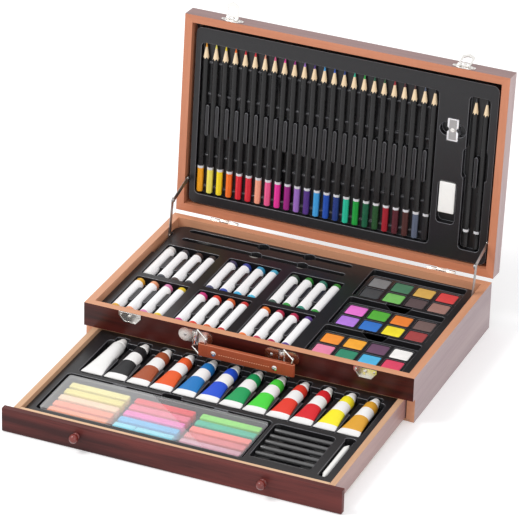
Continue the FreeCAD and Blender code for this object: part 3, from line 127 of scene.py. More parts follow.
# Shader graphs
class Graph:
    """Small helper that adds and links the nodes of one shader tree."""

    def __init__(self, tree: NodeTree) -> None:
        """Keep the tree that nodes go into."""
        self.tree = tree

    def link(self, source: Socket, target: Socket) -> None:
        """Link an output to an input."""
        self.tree.links.new(source, target)

    def add(self, kind: str, inputs: dict | None = None, **settings: object) -> Node:
        """Add a node, set its options and fill or link its inputs.

        Args:
            kind: the node's type name.
            inputs: values or sockets by input name or index.
            settings: attributes of the node.

        Returns:
            The new node.
        """
        node = self.tree.nodes.new(kind)
        for key, value in settings.items():
            setattr(node, key, value)
        for key, value in (inputs or {}).items():
            socket = node.inputs[key]
            if isinstance(value, Socket):
                self.link(value, socket)
            elif isinstance(value, tuple) and socket.type == "RGBA" and len(value) == 3:
                socket.default_value = (*value, 1.0)
            else:
                socket.default_value = value
        return node

    def use(self, effect: Effect, inputs: dict) -> Node:
        """Place a shared effect with values of its own."""
        return self.add("ShaderNodeGroup", inputs, node_tree=effect.tree())

    def mix(self, share: object, first: object, second: object, mode: str = "MIX") -> Socket:
        """Mix two colours.

        Args:
            share: of the second colour, from 0 to 1.
            first, second: the colours.
            mode: way of mixing.

        Returns:
            The socket of the mixed colour.
        """
        node = self.add("ShaderNodeMix", {0: share, 6: first, 7: second},
                        data_type="RGBA", blend_type=mode, clamp_result=True)
        return node.outputs[2]

    def maths(self, operation: str, first: object, second: object = 0.0,
              clamp: bool = False) -> Socket:
        """One arithmetic step; gives its output socket."""
        node = self.add("ShaderNodeMath", {0: first, 1: second}, operation=operation, use_clamp=clamp)
        return node.outputs[0]

    def span(self, value: object, low: float, high: float, to_low: float, to_high: float) -> Socket:
        """Map a value's range onto another, clamped; gives its output socket."""
        node = self.add("ShaderNodeMapRange", {0: value, 1: low, 2: high, 3: to_low, 4: to_high})
        return node.outputs[0]

    def noise(self, vector: object, scale: float, detail: float = 3.0, rough: float = 0.55,
              warp: float = 0.0) -> Socket:
        """Noise over a vector.

        Args:
            vector: where it is looked up.
            scale: how fine it is.
            detail: number of finer layers.
            rough: share of each finer layer.
            warp: how far it is drawn out of shape.

        Returns:
            The socket of the noise value.
        """
        node = self.add("ShaderNodeTexNoise", {"Vector": vector, "Scale": scale, "Detail": detail,
                                               "Roughness": rough, "Distortion": warp})
        return node.outputs[0]

    def dot(self, first: object, second: object) -> Socket:
        """Dot product of two vectors; gives its output socket."""
        node = self.add("ShaderNodeVectorMath", {0: first, 1: second}, operation="DOT_PRODUCT")
        return node.outputs["Value"]

    def coords(self, grain: Grain, scale: float = 1.0) -> Socket:
        """Object coordinates stretched along a grain.

        Args:
            grain: axis that the pattern is drawn out along.
            scale: how much finer the pattern is on all axes.

        Returns:
            The vector socket.
        """
        place = self.add("ShaderNodeTexCoord")
        stretch = self.add("ShaderNodeMapping", {"Vector": place.outputs["Object"],
                                                 "Scale": tuple(scale * s for s in grain.value)})
        return stretch.outputs["Vector"]

    def bump(self, surface: Node, height: Socket, strength: float, depth: float) -> None:
        """Give a surface small relief.

        Args:
            surface: the Principled node.
            height: height of the relief.
            strength: how strongly it shows.
            depth: of the relief, in millimetres.
        """
        node = self.add("ShaderNodeBump", {"Height": height, "Strength": strength,
                                           "Distance": depth * MM})
        self.link(node.outputs["Normal"], surface.inputs["Normal"])


@dataclass(frozen=True)
class Effect:
    """Shader node group that several materials share."""

    name: str
    inputs: tuple[tuple[str, str, object], ...]
    outputs: tuple[tuple[str, str], ...]
    fill: Callable[[Graph, Node, Node], None]

    def tree(self) -> NodeTree:
        """Build the group the first time it is asked for.

        Returns:
            The group's node tree.
        """
        tree = bpy.data.node_groups.get(self.name)
        if tree:
            return tree
        tree = bpy.data.node_groups.new(self.name, "ShaderNodeTree")
        for title, kind, default in self.inputs:
            socket = tree.interface.new_socket(name=title, in_out="INPUT", socket_type="NodeSocket" + kind)
            if default is not None:
                socket.default_value = default
        for title, kind in self.outputs:
            tree.interface.new_socket(name=title, in_out="OUTPUT", socket_type="NodeSocket" + kind)
        graph = Graph(tree)
        self.fill(graph, graph.add("NodeGroupInput"), graph.add("NodeGroupOutput"))
        return tree


def fill_timber_grain(g: Graph, given: Node, out: Node) -> None:
    """Draw long streaks, growth bands and short pores.

    Args:
        g: graph of the group.
        given: the group's input node.
        out: the group's output node.
    """
    at = given.outputs["Coords"]
    streak = g.noise(at, scale=90.0, detail=4.0, rough=0.6, warp=0.4)
    band = g.noise(at, scale=22.0, detail=2.0, rough=0.5, warp=1.2)
    pore = g.noise(at, scale=520.0, detail=2.0, rough=0.5)
    both = g.maths("ADD", g.maths("MULTIPLY", streak, 0.6), g.maths("MULTIPLY", band, 0.4))
    figure = g.span(both, 0.36, 0.64, 0.0, 1.0)
    depth = g.maths("MULTIPLY", figure, given.outputs["Figure"])
    colour = g.mix(depth, given.outputs["Pale"], given.outputs["Deep"])
    pits = g.span(pore, 0.30, 0.42, 1.0, 0.0)
    dark = g.mix(g.maths("MULTIPLY", pits, given.outputs["Pores"]), colour, given.outputs["Deep"])
    g.link(dark, out.inputs["Color"])
    g.link(g.maths("SUBTRACT", g.maths("MULTIPLY", streak, 0.5), pits), out.inputs["Height"])


def fill_pigment_mottle(g: Graph, given: Node, out: Node) -> None:
    """Draw soft clouds and fine grit over one colour.

    Args:
        g: graph of the group.
        given: the group's input node.
        out: the group's output node.
    """
    at, tint, amount = (given.outputs[title] for title in ("Coords", "Tint", "Amount"))
    shade = (0.62, 0.62, 0.62)
    cloud = g.span(g.noise(at, scale=130.0), 0.3, 0.7, 0.0, 1.0)
    grit = g.span(g.noise(at, scale=1500.0, detail=2.0, rough=0.7), 0.3, 0.7, 0.0, 1.0)
    dark = g.mix(1.0, tint, shade, "MULTIPLY")
    pale = g.mix(0.35, tint, WHITE)
    clouded = g.mix(g.maths("MULTIPLY", cloud, amount), tint, dark)
    gritty = g.mix(g.maths("MULTIPLY", grit, g.maths("MULTIPLY", amount, 0.5)), clouded, pale)
    g.link(gritty, out.inputs["Color"])
    g.link(g.maths("ADD", cloud, grit), out.inputs["Height"])


def fill_edge_wear_and_sheen(g: Graph, given: Node, out: Node) -> None:
    """Mask the raised edges, which are made brighter than the flats: rubbed on leather, rubbed and given a
    painted highlight on moulded plastic.

    Args:
        g: graph of the group.
        given: the group's input node.
        out: the group's output node.
    """
    shape = g.add("ShaderNodeNewGeometry")
    edge = g.span(shape.outputs["Pointiness"], 0.52, 0.62, 0.0, 1.0)
    worn = g.span(g.noise(given.outputs["Coords"], scale=260.0), 0.35, 0.6, 0.35, 1.0)
    g.link(g.maths("MULTIPLY", edge, worn, True), out.inputs["Mask"])


def fill_facing_side(g: Graph, given: Node, out: Node) -> None:
    """Mask the faces that look one way on the piece itself.

    Args:
        g: graph of the group.
        given: the group's input node.
        out: the group's output node.
    """
    facing = g.dot(given.outputs["Normal"], given.outputs["Direction"])
    g.link(g.span(facing, 0.55, 0.75, 0.0, 1.0), out.inputs["Mask"])


def fill_uneven_polish(g: Graph, given: Node, out: Node) -> None:
    """Vary the roughness with smears and hairline scratches.

    Args:
        g: graph of the group.
        given: the group's input node.
        out: the group's output node.
    """
    smear = g.noise(given.outputs["Coords"], scale=60.0, detail=4.0, rough=0.6)
    hair = g.noise(given.outputs["Coords"], scale=900.0, detail=2.0, rough=0.6)
    both = g.maths("ADD", g.maths("MULTIPLY", smear, 0.7), g.maths("MULTIPLY", hair, 0.3))
    rise = g.maths("MULTIPLY", g.span(both, 0.35, 0.65, 0.0, 1.0), given.outputs["Rise"])
    g.link(g.maths("ADD", given.outputs["Low"], rise), out.inputs["Roughness"])
    g.link(hair, out.inputs["Height"])


TIMBER_GRAIN = Effect(
    "timber_grain",
    (("Coords", "Vector", None), ("Pale", "Color", (1, 1, 1, 1)), ("Deep", "Color", (0, 0, 0, 1)),
     ("Figure", "Float", 0.5), ("Pores", "Float", 0.2)),
    (("Color", "Color"), ("Height", "Float")), fill_timber_grain)
PIGMENT_MOTTLE = Effect(
    "pigment_mottle",
    (("Coords", "Vector", None), ("Tint", "Color", (1, 1, 1, 1)), ("Amount", "Float", 0.3)),
    (("Color", "Color"), ("Height", "Float")), fill_pigment_mottle)
EDGE_WEAR_AND_SHEEN = Effect("edge_wear_and_sheen", (("Coords", "Vector", None),), (("Mask", "Float"),), fill_edge_wear_and_sheen)
FACING_SIDE = Effect(
    "facing_side", (("Normal", "Vector", None), ("Direction", "Vector", None)),
    (("Mask", "Float"),), fill_facing_side)
UNEVEN_POLISH = Effect(
    "uneven_polish", (("Coords", "Vector", None), ("Low", "Float", 0.3), ("Rise", "Float", 0.1)),
    (("Roughness", "Float"), ("Height", "Float")), fill_uneven_polish)


def open_material(name: str) -> tuple[Material, Graph, Node]:
    """New material with an empty Principled surface.

    Args:
        name: the material's name.

    Returns:
        The material, its graph and its Principled node.
    """
    material = bpy.data.materials.new(name)
    material.use_nodes = True
    graph = Graph(material.node_tree)
    return material, graph, material.node_tree.nodes["Principled BSDF"]


# Kinds of finish
@dataclass(frozen=True)
class Timber:
    """Lacquered wood, with an optional outer side of another colour: a stain, painted paler on some boards
    as a sheen of the light that falls on them.
    """

    name: str
    pale: Colour
    deep: Colour
    grain: Grain = Grain.X
    figure: float = 0.5
    pores: float = 0.15
    rough: float = 0.42
    rise: float = 0.12
    coat: float = 0.25
    coat_rough: float = 0.18
    shine: float = 0.35
    relief: float = 0.25
    depth: float = 0.15
    outside: Side | None = None
    outer_pale: Colour = srgb(104, 48, 42)
    outer_deep: Colour = srgb(52, 20, 18)
    outer_figure: float = 0.9
    outer_pores: float = 0.4
    outer_rough: float = 0.3

    def material(self) -> Material:
        """Build the wood's material.

        Returns:
            The material.
        """
        material, g, surface = open_material(self.name)
        at = g.coords(self.grain)
        wood = g.use(TIMBER_GRAIN, {"Coords": at, "Pale": self.pale, "Deep": self.deep,
                                    "Figure": self.figure, "Pores": self.pores})
        colour = wood.outputs["Color"]
        polish = g.use(UNEVEN_POLISH, {"Coords": at, "Low": self.rough, "Rise": self.rise})
        rough = polish.outputs["Roughness"]
        if self.outside:
            place = g.add("ShaderNodeTexCoord")
            side = g.use(FACING_SIDE, {"Normal": place.outputs["Normal"],
                                       "Direction": self.outside.value})
            stain = g.use(TIMBER_GRAIN, {"Coords": at, "Pale": self.outer_pale,
                                         "Deep": self.outer_deep, "Figure": self.outer_figure,
                                         "Pores": self.outer_pores})
            colour = g.mix(side.outputs["Mask"], colour, stain.outputs["Color"])
            rough = g.mix(side.outputs["Mask"], rough, (self.outer_rough,) * 3)
        g.link(colour, surface.inputs["Base Color"])
        g.link(rough, surface.inputs["Roughness"])
        surface.inputs["Coat Weight"].default_value = self.coat
        surface.inputs["Coat Roughness"].default_value = self.coat_rough
        surface.inputs["Specular IOR Level"].default_value = self.shine
        g.bump(surface, wood.outputs["Height"], self.relief, self.depth)
        return material


@dataclass(frozen=True)
class Moulded:
    """Thin moulded plastic with edges lightened by rubbing and by a painted highlight, and a faint
    orange-peel skin.
    """

    name: str
    colour: Colour
    edge: Colour
    rough: float = 0.3
    rise: float = 0.03
    mottle: float = 0.05
    # wear: how far the edges go to the edge colour, for rubbing and a painted highlight.
    wear: float = 0.1
    relief: float = 0.02
    depth: float = 0.05
    shine: float = 0.4

    def material(self) -> Material:
        """Build the plastic's material.

        Returns:
            The material.
        """
        material, g, surface = open_material(self.name)
        at = g.coords(Grain.NONE)
        rubbed = g.use(EDGE_WEAR_AND_SHEEN, {"Coords": at})
        polish = g.use(UNEVEN_POLISH, {"Coords": at, "Low": self.rough, "Rise": self.rise})
        body = g.use(PIGMENT_MOTTLE, {"Coords": at, "Tint": self.colour, "Amount": self.mottle})
        # Edges lightened towards the edge colour: rubbing and a painted highlight.
        share = g.maths("MULTIPLY", rubbed.outputs["Mask"], self.wear)
        g.link(g.mix(share, body.outputs["Color"], self.edge), surface.inputs["Base Color"])
        g.link(polish.outputs["Roughness"], surface.inputs["Roughness"])
        surface.inputs["Specular IOR Level"].default_value = self.shine
        g.bump(surface, polish.outputs["Height"], self.relief, self.depth)
        return material


@dataclass(frozen=True)
class Metal:
    """Plated or bare metal with smears and hairlines."""

    name: str
    colour: Colour
    rough: float = 0.18
    rise: float = 0.12
    grain: Grain = Grain.NONE
    mottle: float = 0.2
    relief: float = 0.15
    depth: float = 0.04

    def material(self) -> Material:
        """Build the metal's material.

        Returns:
            The material.
        """
        material, g, surface = open_material(self.name)
        at = g.coords(self.grain)
        polish = g.use(UNEVEN_POLISH, {"Coords": at, "Low": self.rough, "Rise": self.rise})
        tone = g.use(PIGMENT_MOTTLE, {"Coords": at, "Tint": self.colour, "Amount": self.mottle})
        g.link(tone.outputs["Color"], surface.inputs["Base Color"])
        g.link(polish.outputs["Roughness"], surface.inputs["Roughness"])
        surface.inputs["Metallic"].default_value = 1.0
        g.bump(surface, polish.outputs["Height"], self.relief, self.depth)
        return material


@dataclass(frozen=True)
class Pigment:
    """Chalk, wax, paint, paper or lacquer; its colour can differ from piece to piece."""

    name: str
    colour: Colour | None = None
    rough: float = 0.6
    rise: float = 0.1
    mottle: float = 0.2
    relief: float = 0.2
    depth: float = 0.1
    coat: float = 0.0
    shine: float = 0.4
    grain: Grain = Grain.NONE
    scale: float = 1.0

    def material(self) -> Material:
        """Build the material, tinted by the mesh's own colours where it has none.

        Returns:
            The material.
        """
        material, g, surface = open_material(self.name)
        at = g.coords(self.grain, self.scale)
        tint: object = self.colour
        if tint is None:
            tint = g.add("ShaderNodeAttribute", attribute_name="Tint").outputs["Color"]
        body = g.use(PIGMENT_MOTTLE, {"Coords": at, "Tint": tint, "Amount": self.mottle})
        g.link(body.outputs["Color"], surface.inputs["Base Color"])
        polish = g.use(UNEVEN_POLISH, {"Coords": at, "Low": self.rough, "Rise": self.rise})
        g.link(polish.outputs["Roughness"], surface.inputs["Roughness"])
        surface.inputs["Coat Weight"].default_value = self.coat
        surface.inputs["Specular IOR Level"].default_value = self.shine
        g.bump(surface, body.outputs["Height"], self.relief, self.depth)
        return material


@dataclass(frozen=True)
class Leather:
    """Smooth brown leather with fine pebbling and creases."""

    name: str
    colour: Colour
    rubbed: Colour = (0.55, 0.24, 0.14)
    rough: float = 0.45
    rise: float = 0.18
    mottle: float = 0.25
    wear: float = 0.3
    shine: float = 0.18
    relief: float = 0.3
    depth: float = 0.12

    def material(self) -> Material:
        """Build the leather's material.

        Returns:
            The material.
        """
        material, g, surface = open_material(self.name)
        at = g.coords(Grain.NONE)
        pebbles = g.add("ShaderNodeTexVoronoi", {"Vector": at, "Scale": 1400.0}).outputs["Distance"]
        crease = g.noise(at, scale=180.0, detail=4.0, rough=0.6)
        body = g.use(PIGMENT_MOTTLE, {"Coords": at, "Tint": self.colour, "Amount": self.mottle})
        worn = g.maths("MULTIPLY", g.use(EDGE_WEAR_AND_SHEEN, {"Coords": at}).outputs["Mask"], self.wear)
        g.link(g.mix(worn, body.outputs["Color"], self.rubbed), surface.inputs["Base Color"])
        polish = g.use(UNEVEN_POLISH, {"Coords": at, "Low": self.rough, "Rise": self.rise})
        g.link(polish.outputs["Roughness"], surface.inputs["Roughness"])
        surface.inputs["Specular IOR Level"].default_value = self.shine
        height = g.maths("ADD", g.maths("MULTIPLY", pebbles, 0.4), crease)
        g.bump(surface, height, self.relief, self.depth)
        return material


@dataclass(frozen=True)
class Clear:
    """Clear moulded plastic with a faint veil; a painted reflection thickens it towards its outline and
    makes it paler on one side of a slanting band.
    """

    name: str
    colour: Colour
    rough: float = 0.06
    rise: float = 0.05
    mottle: float = 0.1
    veil: float = 0.2
    # The paler share on one side of the band and the rim are painted reflection on the veil.
    glare_share: float = 1.55
    rim: float = 0.3
    slant: Point = (1.0, 1.2, 0.0)
    band: float = -0.319
    half_band: float = 0.0004
    unlit: float = 0.9
    refraction: float = 1.46

    def material(self) -> Material:
        """Build the clear cover's material.

        The veil is nearly off for the rays that carry light to what lies below, so
        that the sticks keep their colours, and wholly off on the cover's inner side.

        Returns:
            The material.
        """
        material, g, surface = open_material(self.name)
        at = g.coords(Grain.NONE)
        polish = g.use(UNEVEN_POLISH, {"Coords": at, "Low": self.rough, "Rise": self.rise})
        g.link(polish.outputs["Roughness"], surface.inputs["Roughness"])
        body = g.use(PIGMENT_MOTTLE, {"Coords": at, "Tint": self.colour, "Amount": self.mottle})
        g.link(body.outputs["Color"], surface.inputs["Base Color"])
        # Painted reflection: the veil thickens at glancing angles and is paler on one side of a slanting
        # band.
        facing = g.add("ShaderNodeLayerWeight", {"Blend": 0.4}).outputs["Facing"]
        inner = g.add("ShaderNodeNewGeometry").outputs["Backfacing"]
        across = g.dot(g.add("ShaderNodeTexCoord").outputs["Object"], self.slant)
        pale = g.span(across, self.band - self.half_band, self.band + self.half_band,
                      self.veil * self.glare_share, self.veil)
        front = g.maths("ADD", g.span(facing, 0.55, 1.0, 0.0, self.rim), pale)
        path = g.add("ShaderNodeLightPath")
        light = g.maths("MAXIMUM", path.outputs["Is Shadow Ray"], path.outputs["Is Diffuse Ray"])
        hidden = g.maths("MAXIMUM", inner, g.maths("MULTIPLY", light, self.unlit))
        shown = g.maths("MULTIPLY", front, g.maths("SUBTRACT", 1.0, hidden), True)
        g.link(shown, surface.inputs["Alpha"])
        surface.inputs["IOR"].default_value = self.refraction
        return material


# Mesh building
TINY = 1e-4


def circle(radius: float, count: int = 32) -> Outline:
    """Round outline of a radius."""
    return [(radius * math.cos(math.tau * k / count), radius * math.sin(math.tau * k / count))
            for k in range(count)]


def hexagon(radius: float, count: int = 24, soft: float = 0.10) -> Outline:
    """Six-sided outline with corners on the X axis, slightly rounded.

    Args:
        radius: from the middle to a corner.
        count: points round the outline, a multiple of six.
        soft: how far the corners are rounded, as a share of the radius.

    Returns:
        The outline's points.
    """
    outline = []
    for k in range(count):
        turn = math.tau * k / count
        local = (turn + math.pi / 6) % (math.pi / 3) - math.pi / 6
        flat = radius * math.cos(math.pi / 6) / math.cos(math.pi / 6 - abs(local))
        reach = min(flat, radius * (1 - soft * 0.35))
        outline.append((reach * math.cos(turn), reach * math.sin(turn)))
    return outline


def rounded(width: float, length: float, corner: float, steps: int = 5) -> Outline:
    """Rectangle outline with round corners, centred.

    Args:
        width, length: full size along the two axes.
        corner: corner radius.
        steps: segments per corner.

    Returns:
        The outline's points.
    """
    radius = max(min(corner, width / 2 - TINY, length / 2 - TINY), TINY)
    outline = []
    for quarter in range(4):
        sx = 1 if quarter in (0, 3) else -1
        sy = 1 if quarter in (0, 1) else -1
        for k in range(steps + 1):
            turn = math.pi / 2 * (quarter + k / steps)
            outline.append((sx * (width / 2 - radius) + radius * math.cos(turn),
                            sy * (length / 2 - radius) + radius * math.sin(turn)))
    return outline


def lid_frame(joints: Sequence[dict], inward: float = 2.75, above: float = 0.15) -> Matrix:
    """Frame of the open lid: x, distance from the hinge edge, height towards the rim.

    Args:
        joints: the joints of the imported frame.
        inward: from the hinge pin to the lid's edge, in millimetres.
        above: from the lid's rim to the hinge pin, in millimetres.

    Returns:
        The matrix that takes millimetres in the lid to metres in the world.
    """
    hinge = next(joint for joint in joints if joint["name"] == "lid_hinge")
    turn = math.radians(-hinge["range_deg"][1])
    c, n = math.cos(turn), math.sin(turn)
    y0 = hinge["pos_m"][1] / MM - c * inward - n * above
    z0 = hinge["pos_m"][2] / MM - n * inward + c * above
    return Matrix(((MM, 0, 0, 0), (0, -c * MM, n * MM, y0 * MM), (0, -n * MM, -c * MM, z0 * MM),
                   (0, 0, 0, 1)))


CASE_FRAME = Matrix.Diagonal((MM, MM, MM, 1))


@dataclass(frozen=True)
class Extent:
    """Lowest and highest corner of a CAD node at rest, in millimetres."""

    low: Vector
    high: Vector

    @classmethod
    def of(cls, node: str) -> Extent:
        """Extent of a node."""
        low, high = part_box(node)
        return cls(low / MM, high / MM)

    @property
    def middle(self) -> Vector:
        """Point halfway between the corners."""
        return (self.low + self.high) / 2


class Along(Enum):
    """Axis that a piece is lofted along, with the two axes of its outline."""

    X = ((0, 1, 0), (0, 0, 1), (1, 0, 0))
    Y = ((0, 0, 1), (1, 0, 0), (0, 1, 0))
    Z = ((1, 0, 0), (0, 1, 0), (0, 0, 1))

    def place(self, centre: Point) -> Matrix:
        """Frame with its third axis along this one.

        Args:
            centre: where the frame sits, in millimetres.

        Returns:
            The matrix from (across, across, along) to the sub-assembly's frame.
        """
        u, v, w = self.value
        return Matrix(((u[0], v[0], w[0], centre[0]), (u[1], v[1], w[1], centre[1]),
                       (u[2], v[2], w[2], centre[2]), (0, 0, 0, 1)))


@dataclass
class Sculpt:
    """Vertices, faces, finishes and tints of one piece as it is built."""

    frame: Matrix = field(default_factory=lambda: CASE_FRAME.copy())
    points: list[Vector] = field(default_factory=list)
    faces: list[tuple[int, ...]] = field(default_factory=list)
    slots: list[int] = field(default_factory=list)
    tints: list[Colour] = field(default_factory=list)

    def loft(self, place: Matrix, rings: Sequence[Sequence[Point]], slots: Sequence[int] | int = 0,
             tints: Sequence[Colour] | Colour = WHITE, closed: tuple[bool, bool] = (True, True)) -> None:
        """Skin over a run of rings of equal count.

        Args:
            place: frame of the rings, in millimetres.
            rings: rings of (across, across, along) points.
            slots: finish of each band between rings, or one for all.
            tints: tint of each band, or one for all.
            closed: whether the first and last ring get a face.
        """
        bands = len(rings) - 1
        kinds = [slots] * bands if isinstance(slots, int) else list(slots)
        shades = [tints] * bands if isinstance(tints[0], (int, float)) else list(tints)
        matrix = self.frame @ place
        start = len(self.points)
        count = len(rings[0])
        for ring in rings:
            self.points += [matrix @ Vector(p) for p in ring]
        for i in range(bands):
            a, b = start + i * count, start + (i + 1) * count
            for k in range(count):
                n = (k + 1) % count
                self.add((a + k, a + n, b + n, b + k), kinds[i], shades[i])
        if closed[0]:
            self.add(tuple(start + count - 1 - k for k in range(count)), kinds[0], shades[0])
        if closed[1]:
            last = start + bands * count
            self.add(tuple(last + k for k in range(count)), kinds[-1], shades[-1])

    def add(self, face: tuple[int, ...], slot: int, tint: Colour) -> None:
        """Keep one face.

        Args:
            face: numbers of its corners.
            slot: its finish.
            tint: its tint.
        """
        self.faces.append(face)
        self.slots.append(slot)
        self.tints.append(tint)

    def turned(self, place: Matrix, profile: Sequence[tuple[float, float]],
               slots: Sequence[int] | int = 0, tints: Sequence[Colour] | Colour = WHITE,
               count: int = 32, thinnest: float = 0.01) -> None:
        """Round piece, as from a lathe.

        Args:
            place: frame at the start of its axis, in millimetres.
            profile: (along, radius) pairs.
            slots: finish of each band between them, or one for all.
            tints: tint of each band, or one for all.
            count: points round the piece.
            thinnest: smallest radius of a ring.
        """
        rings = [[(x, y, along) for x, y in circle(max(radius, thinnest), count)]
                 for along, radius in profile]
        self.loft(place, rings, slots, tints)

    def block(self, place: Matrix, size: Point, corner: float, edge: float, slot: int = 0,
              tint: Colour = WHITE, crown: float = 0.0, steps: int = 4) -> None:
        """Block with round upright corners and softened top and bottom edges.

        Args:
            place: frame at the middle of the base.
            size: width, length and height.
            corner: radius of the upright corners.
            edge: radius of the top and bottom edges.
            slot: finish of the block.
            tint: tint of the block.
            crown: how far the top rises in the middle, inside the height.
            steps: segments of each softened edge.
        """
        width, length, height = size
        rings = []
        for k in range(steps + 1):
            turn = math.pi / 2 * k / steps
            inset = edge * (1 - math.sin(turn))
            rings.append((inset, edge * (1 - math.cos(turn))))
        rings += [(inset, height - crown - z) for inset, z in reversed(rings)]
        if crown:
            for share in (0.3, 0.6, 0.85):
                reach = min(width, length) / 2 * share
                rings.append((edge + reach, height - crown * (1 - share) ** 2))
        built = []
        for inset, z in rings:
            w, h = width - 2 * inset, length - 2 * inset
            outline = rounded(w, h, max(corner - inset, 0.05) if corner < min(w, h) / 2 else min(w, h) / 2)
            built.append([(x, y, z) for x, y in outline])
        self.loft(place, built, slot, tint)

    def finish(self, name: str, body: str, materials: Sequence[Material],
               nodes: Sequence[str], slot: str, smooth: float = 35.0) -> bpy.types.Object:
        """Make the object, dress it and let it ride on its body.

        Args:
            name: name of the piece.
            body: CAD body that it moves with.
            materials: its finishes, in slot order.
            nodes: CAD nodes that it stands for.
            slot: material slot of the record; not used.
            smooth: angle in degrees below which edges shade smoothly.

        Returns:
            The new object.
        """
        mesh = bpy.data.meshes.new(name)
        mesh.from_pydata([tuple(p) for p in self.points], [], self.faces)
        for material in materials:
            mesh.materials.append(material)
        mesh.polygons.foreach_set("material_index", self.slots)
        layer = mesh.color_attributes.new("Tint", "FLOAT_COLOR", "CORNER")
        values: list[float] = []
        for face, tint in zip(self.faces, self.tints):
            values += [*tint, 1.0] * len(face)
        layer.data.foreach_set("color", values)
        mesh.validate()
        mesh.update()
        piece = bpy.data.objects.new(name, mesh)
        bpy.context.scene.collection.objects.link(piece)
        mesh.shade_smooth()
        mesh.set_sharp_from_angle(angle=math.radians(smooth))
        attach(piece, body)
        if nodes:
            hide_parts(*nodes)
        LOG.info("built %s: %d faces on %s", name, len(self.faces), body)
        return piece


def vary(colour: Colour, dice: random.Random, spread: float = 0.06) -> Colour:
    """A tint a little lighter or darker than a colour."""
    share = 1 + dice.uniform(-spread, spread)
    return tuple(min(1.0, c * share) for c in colour)


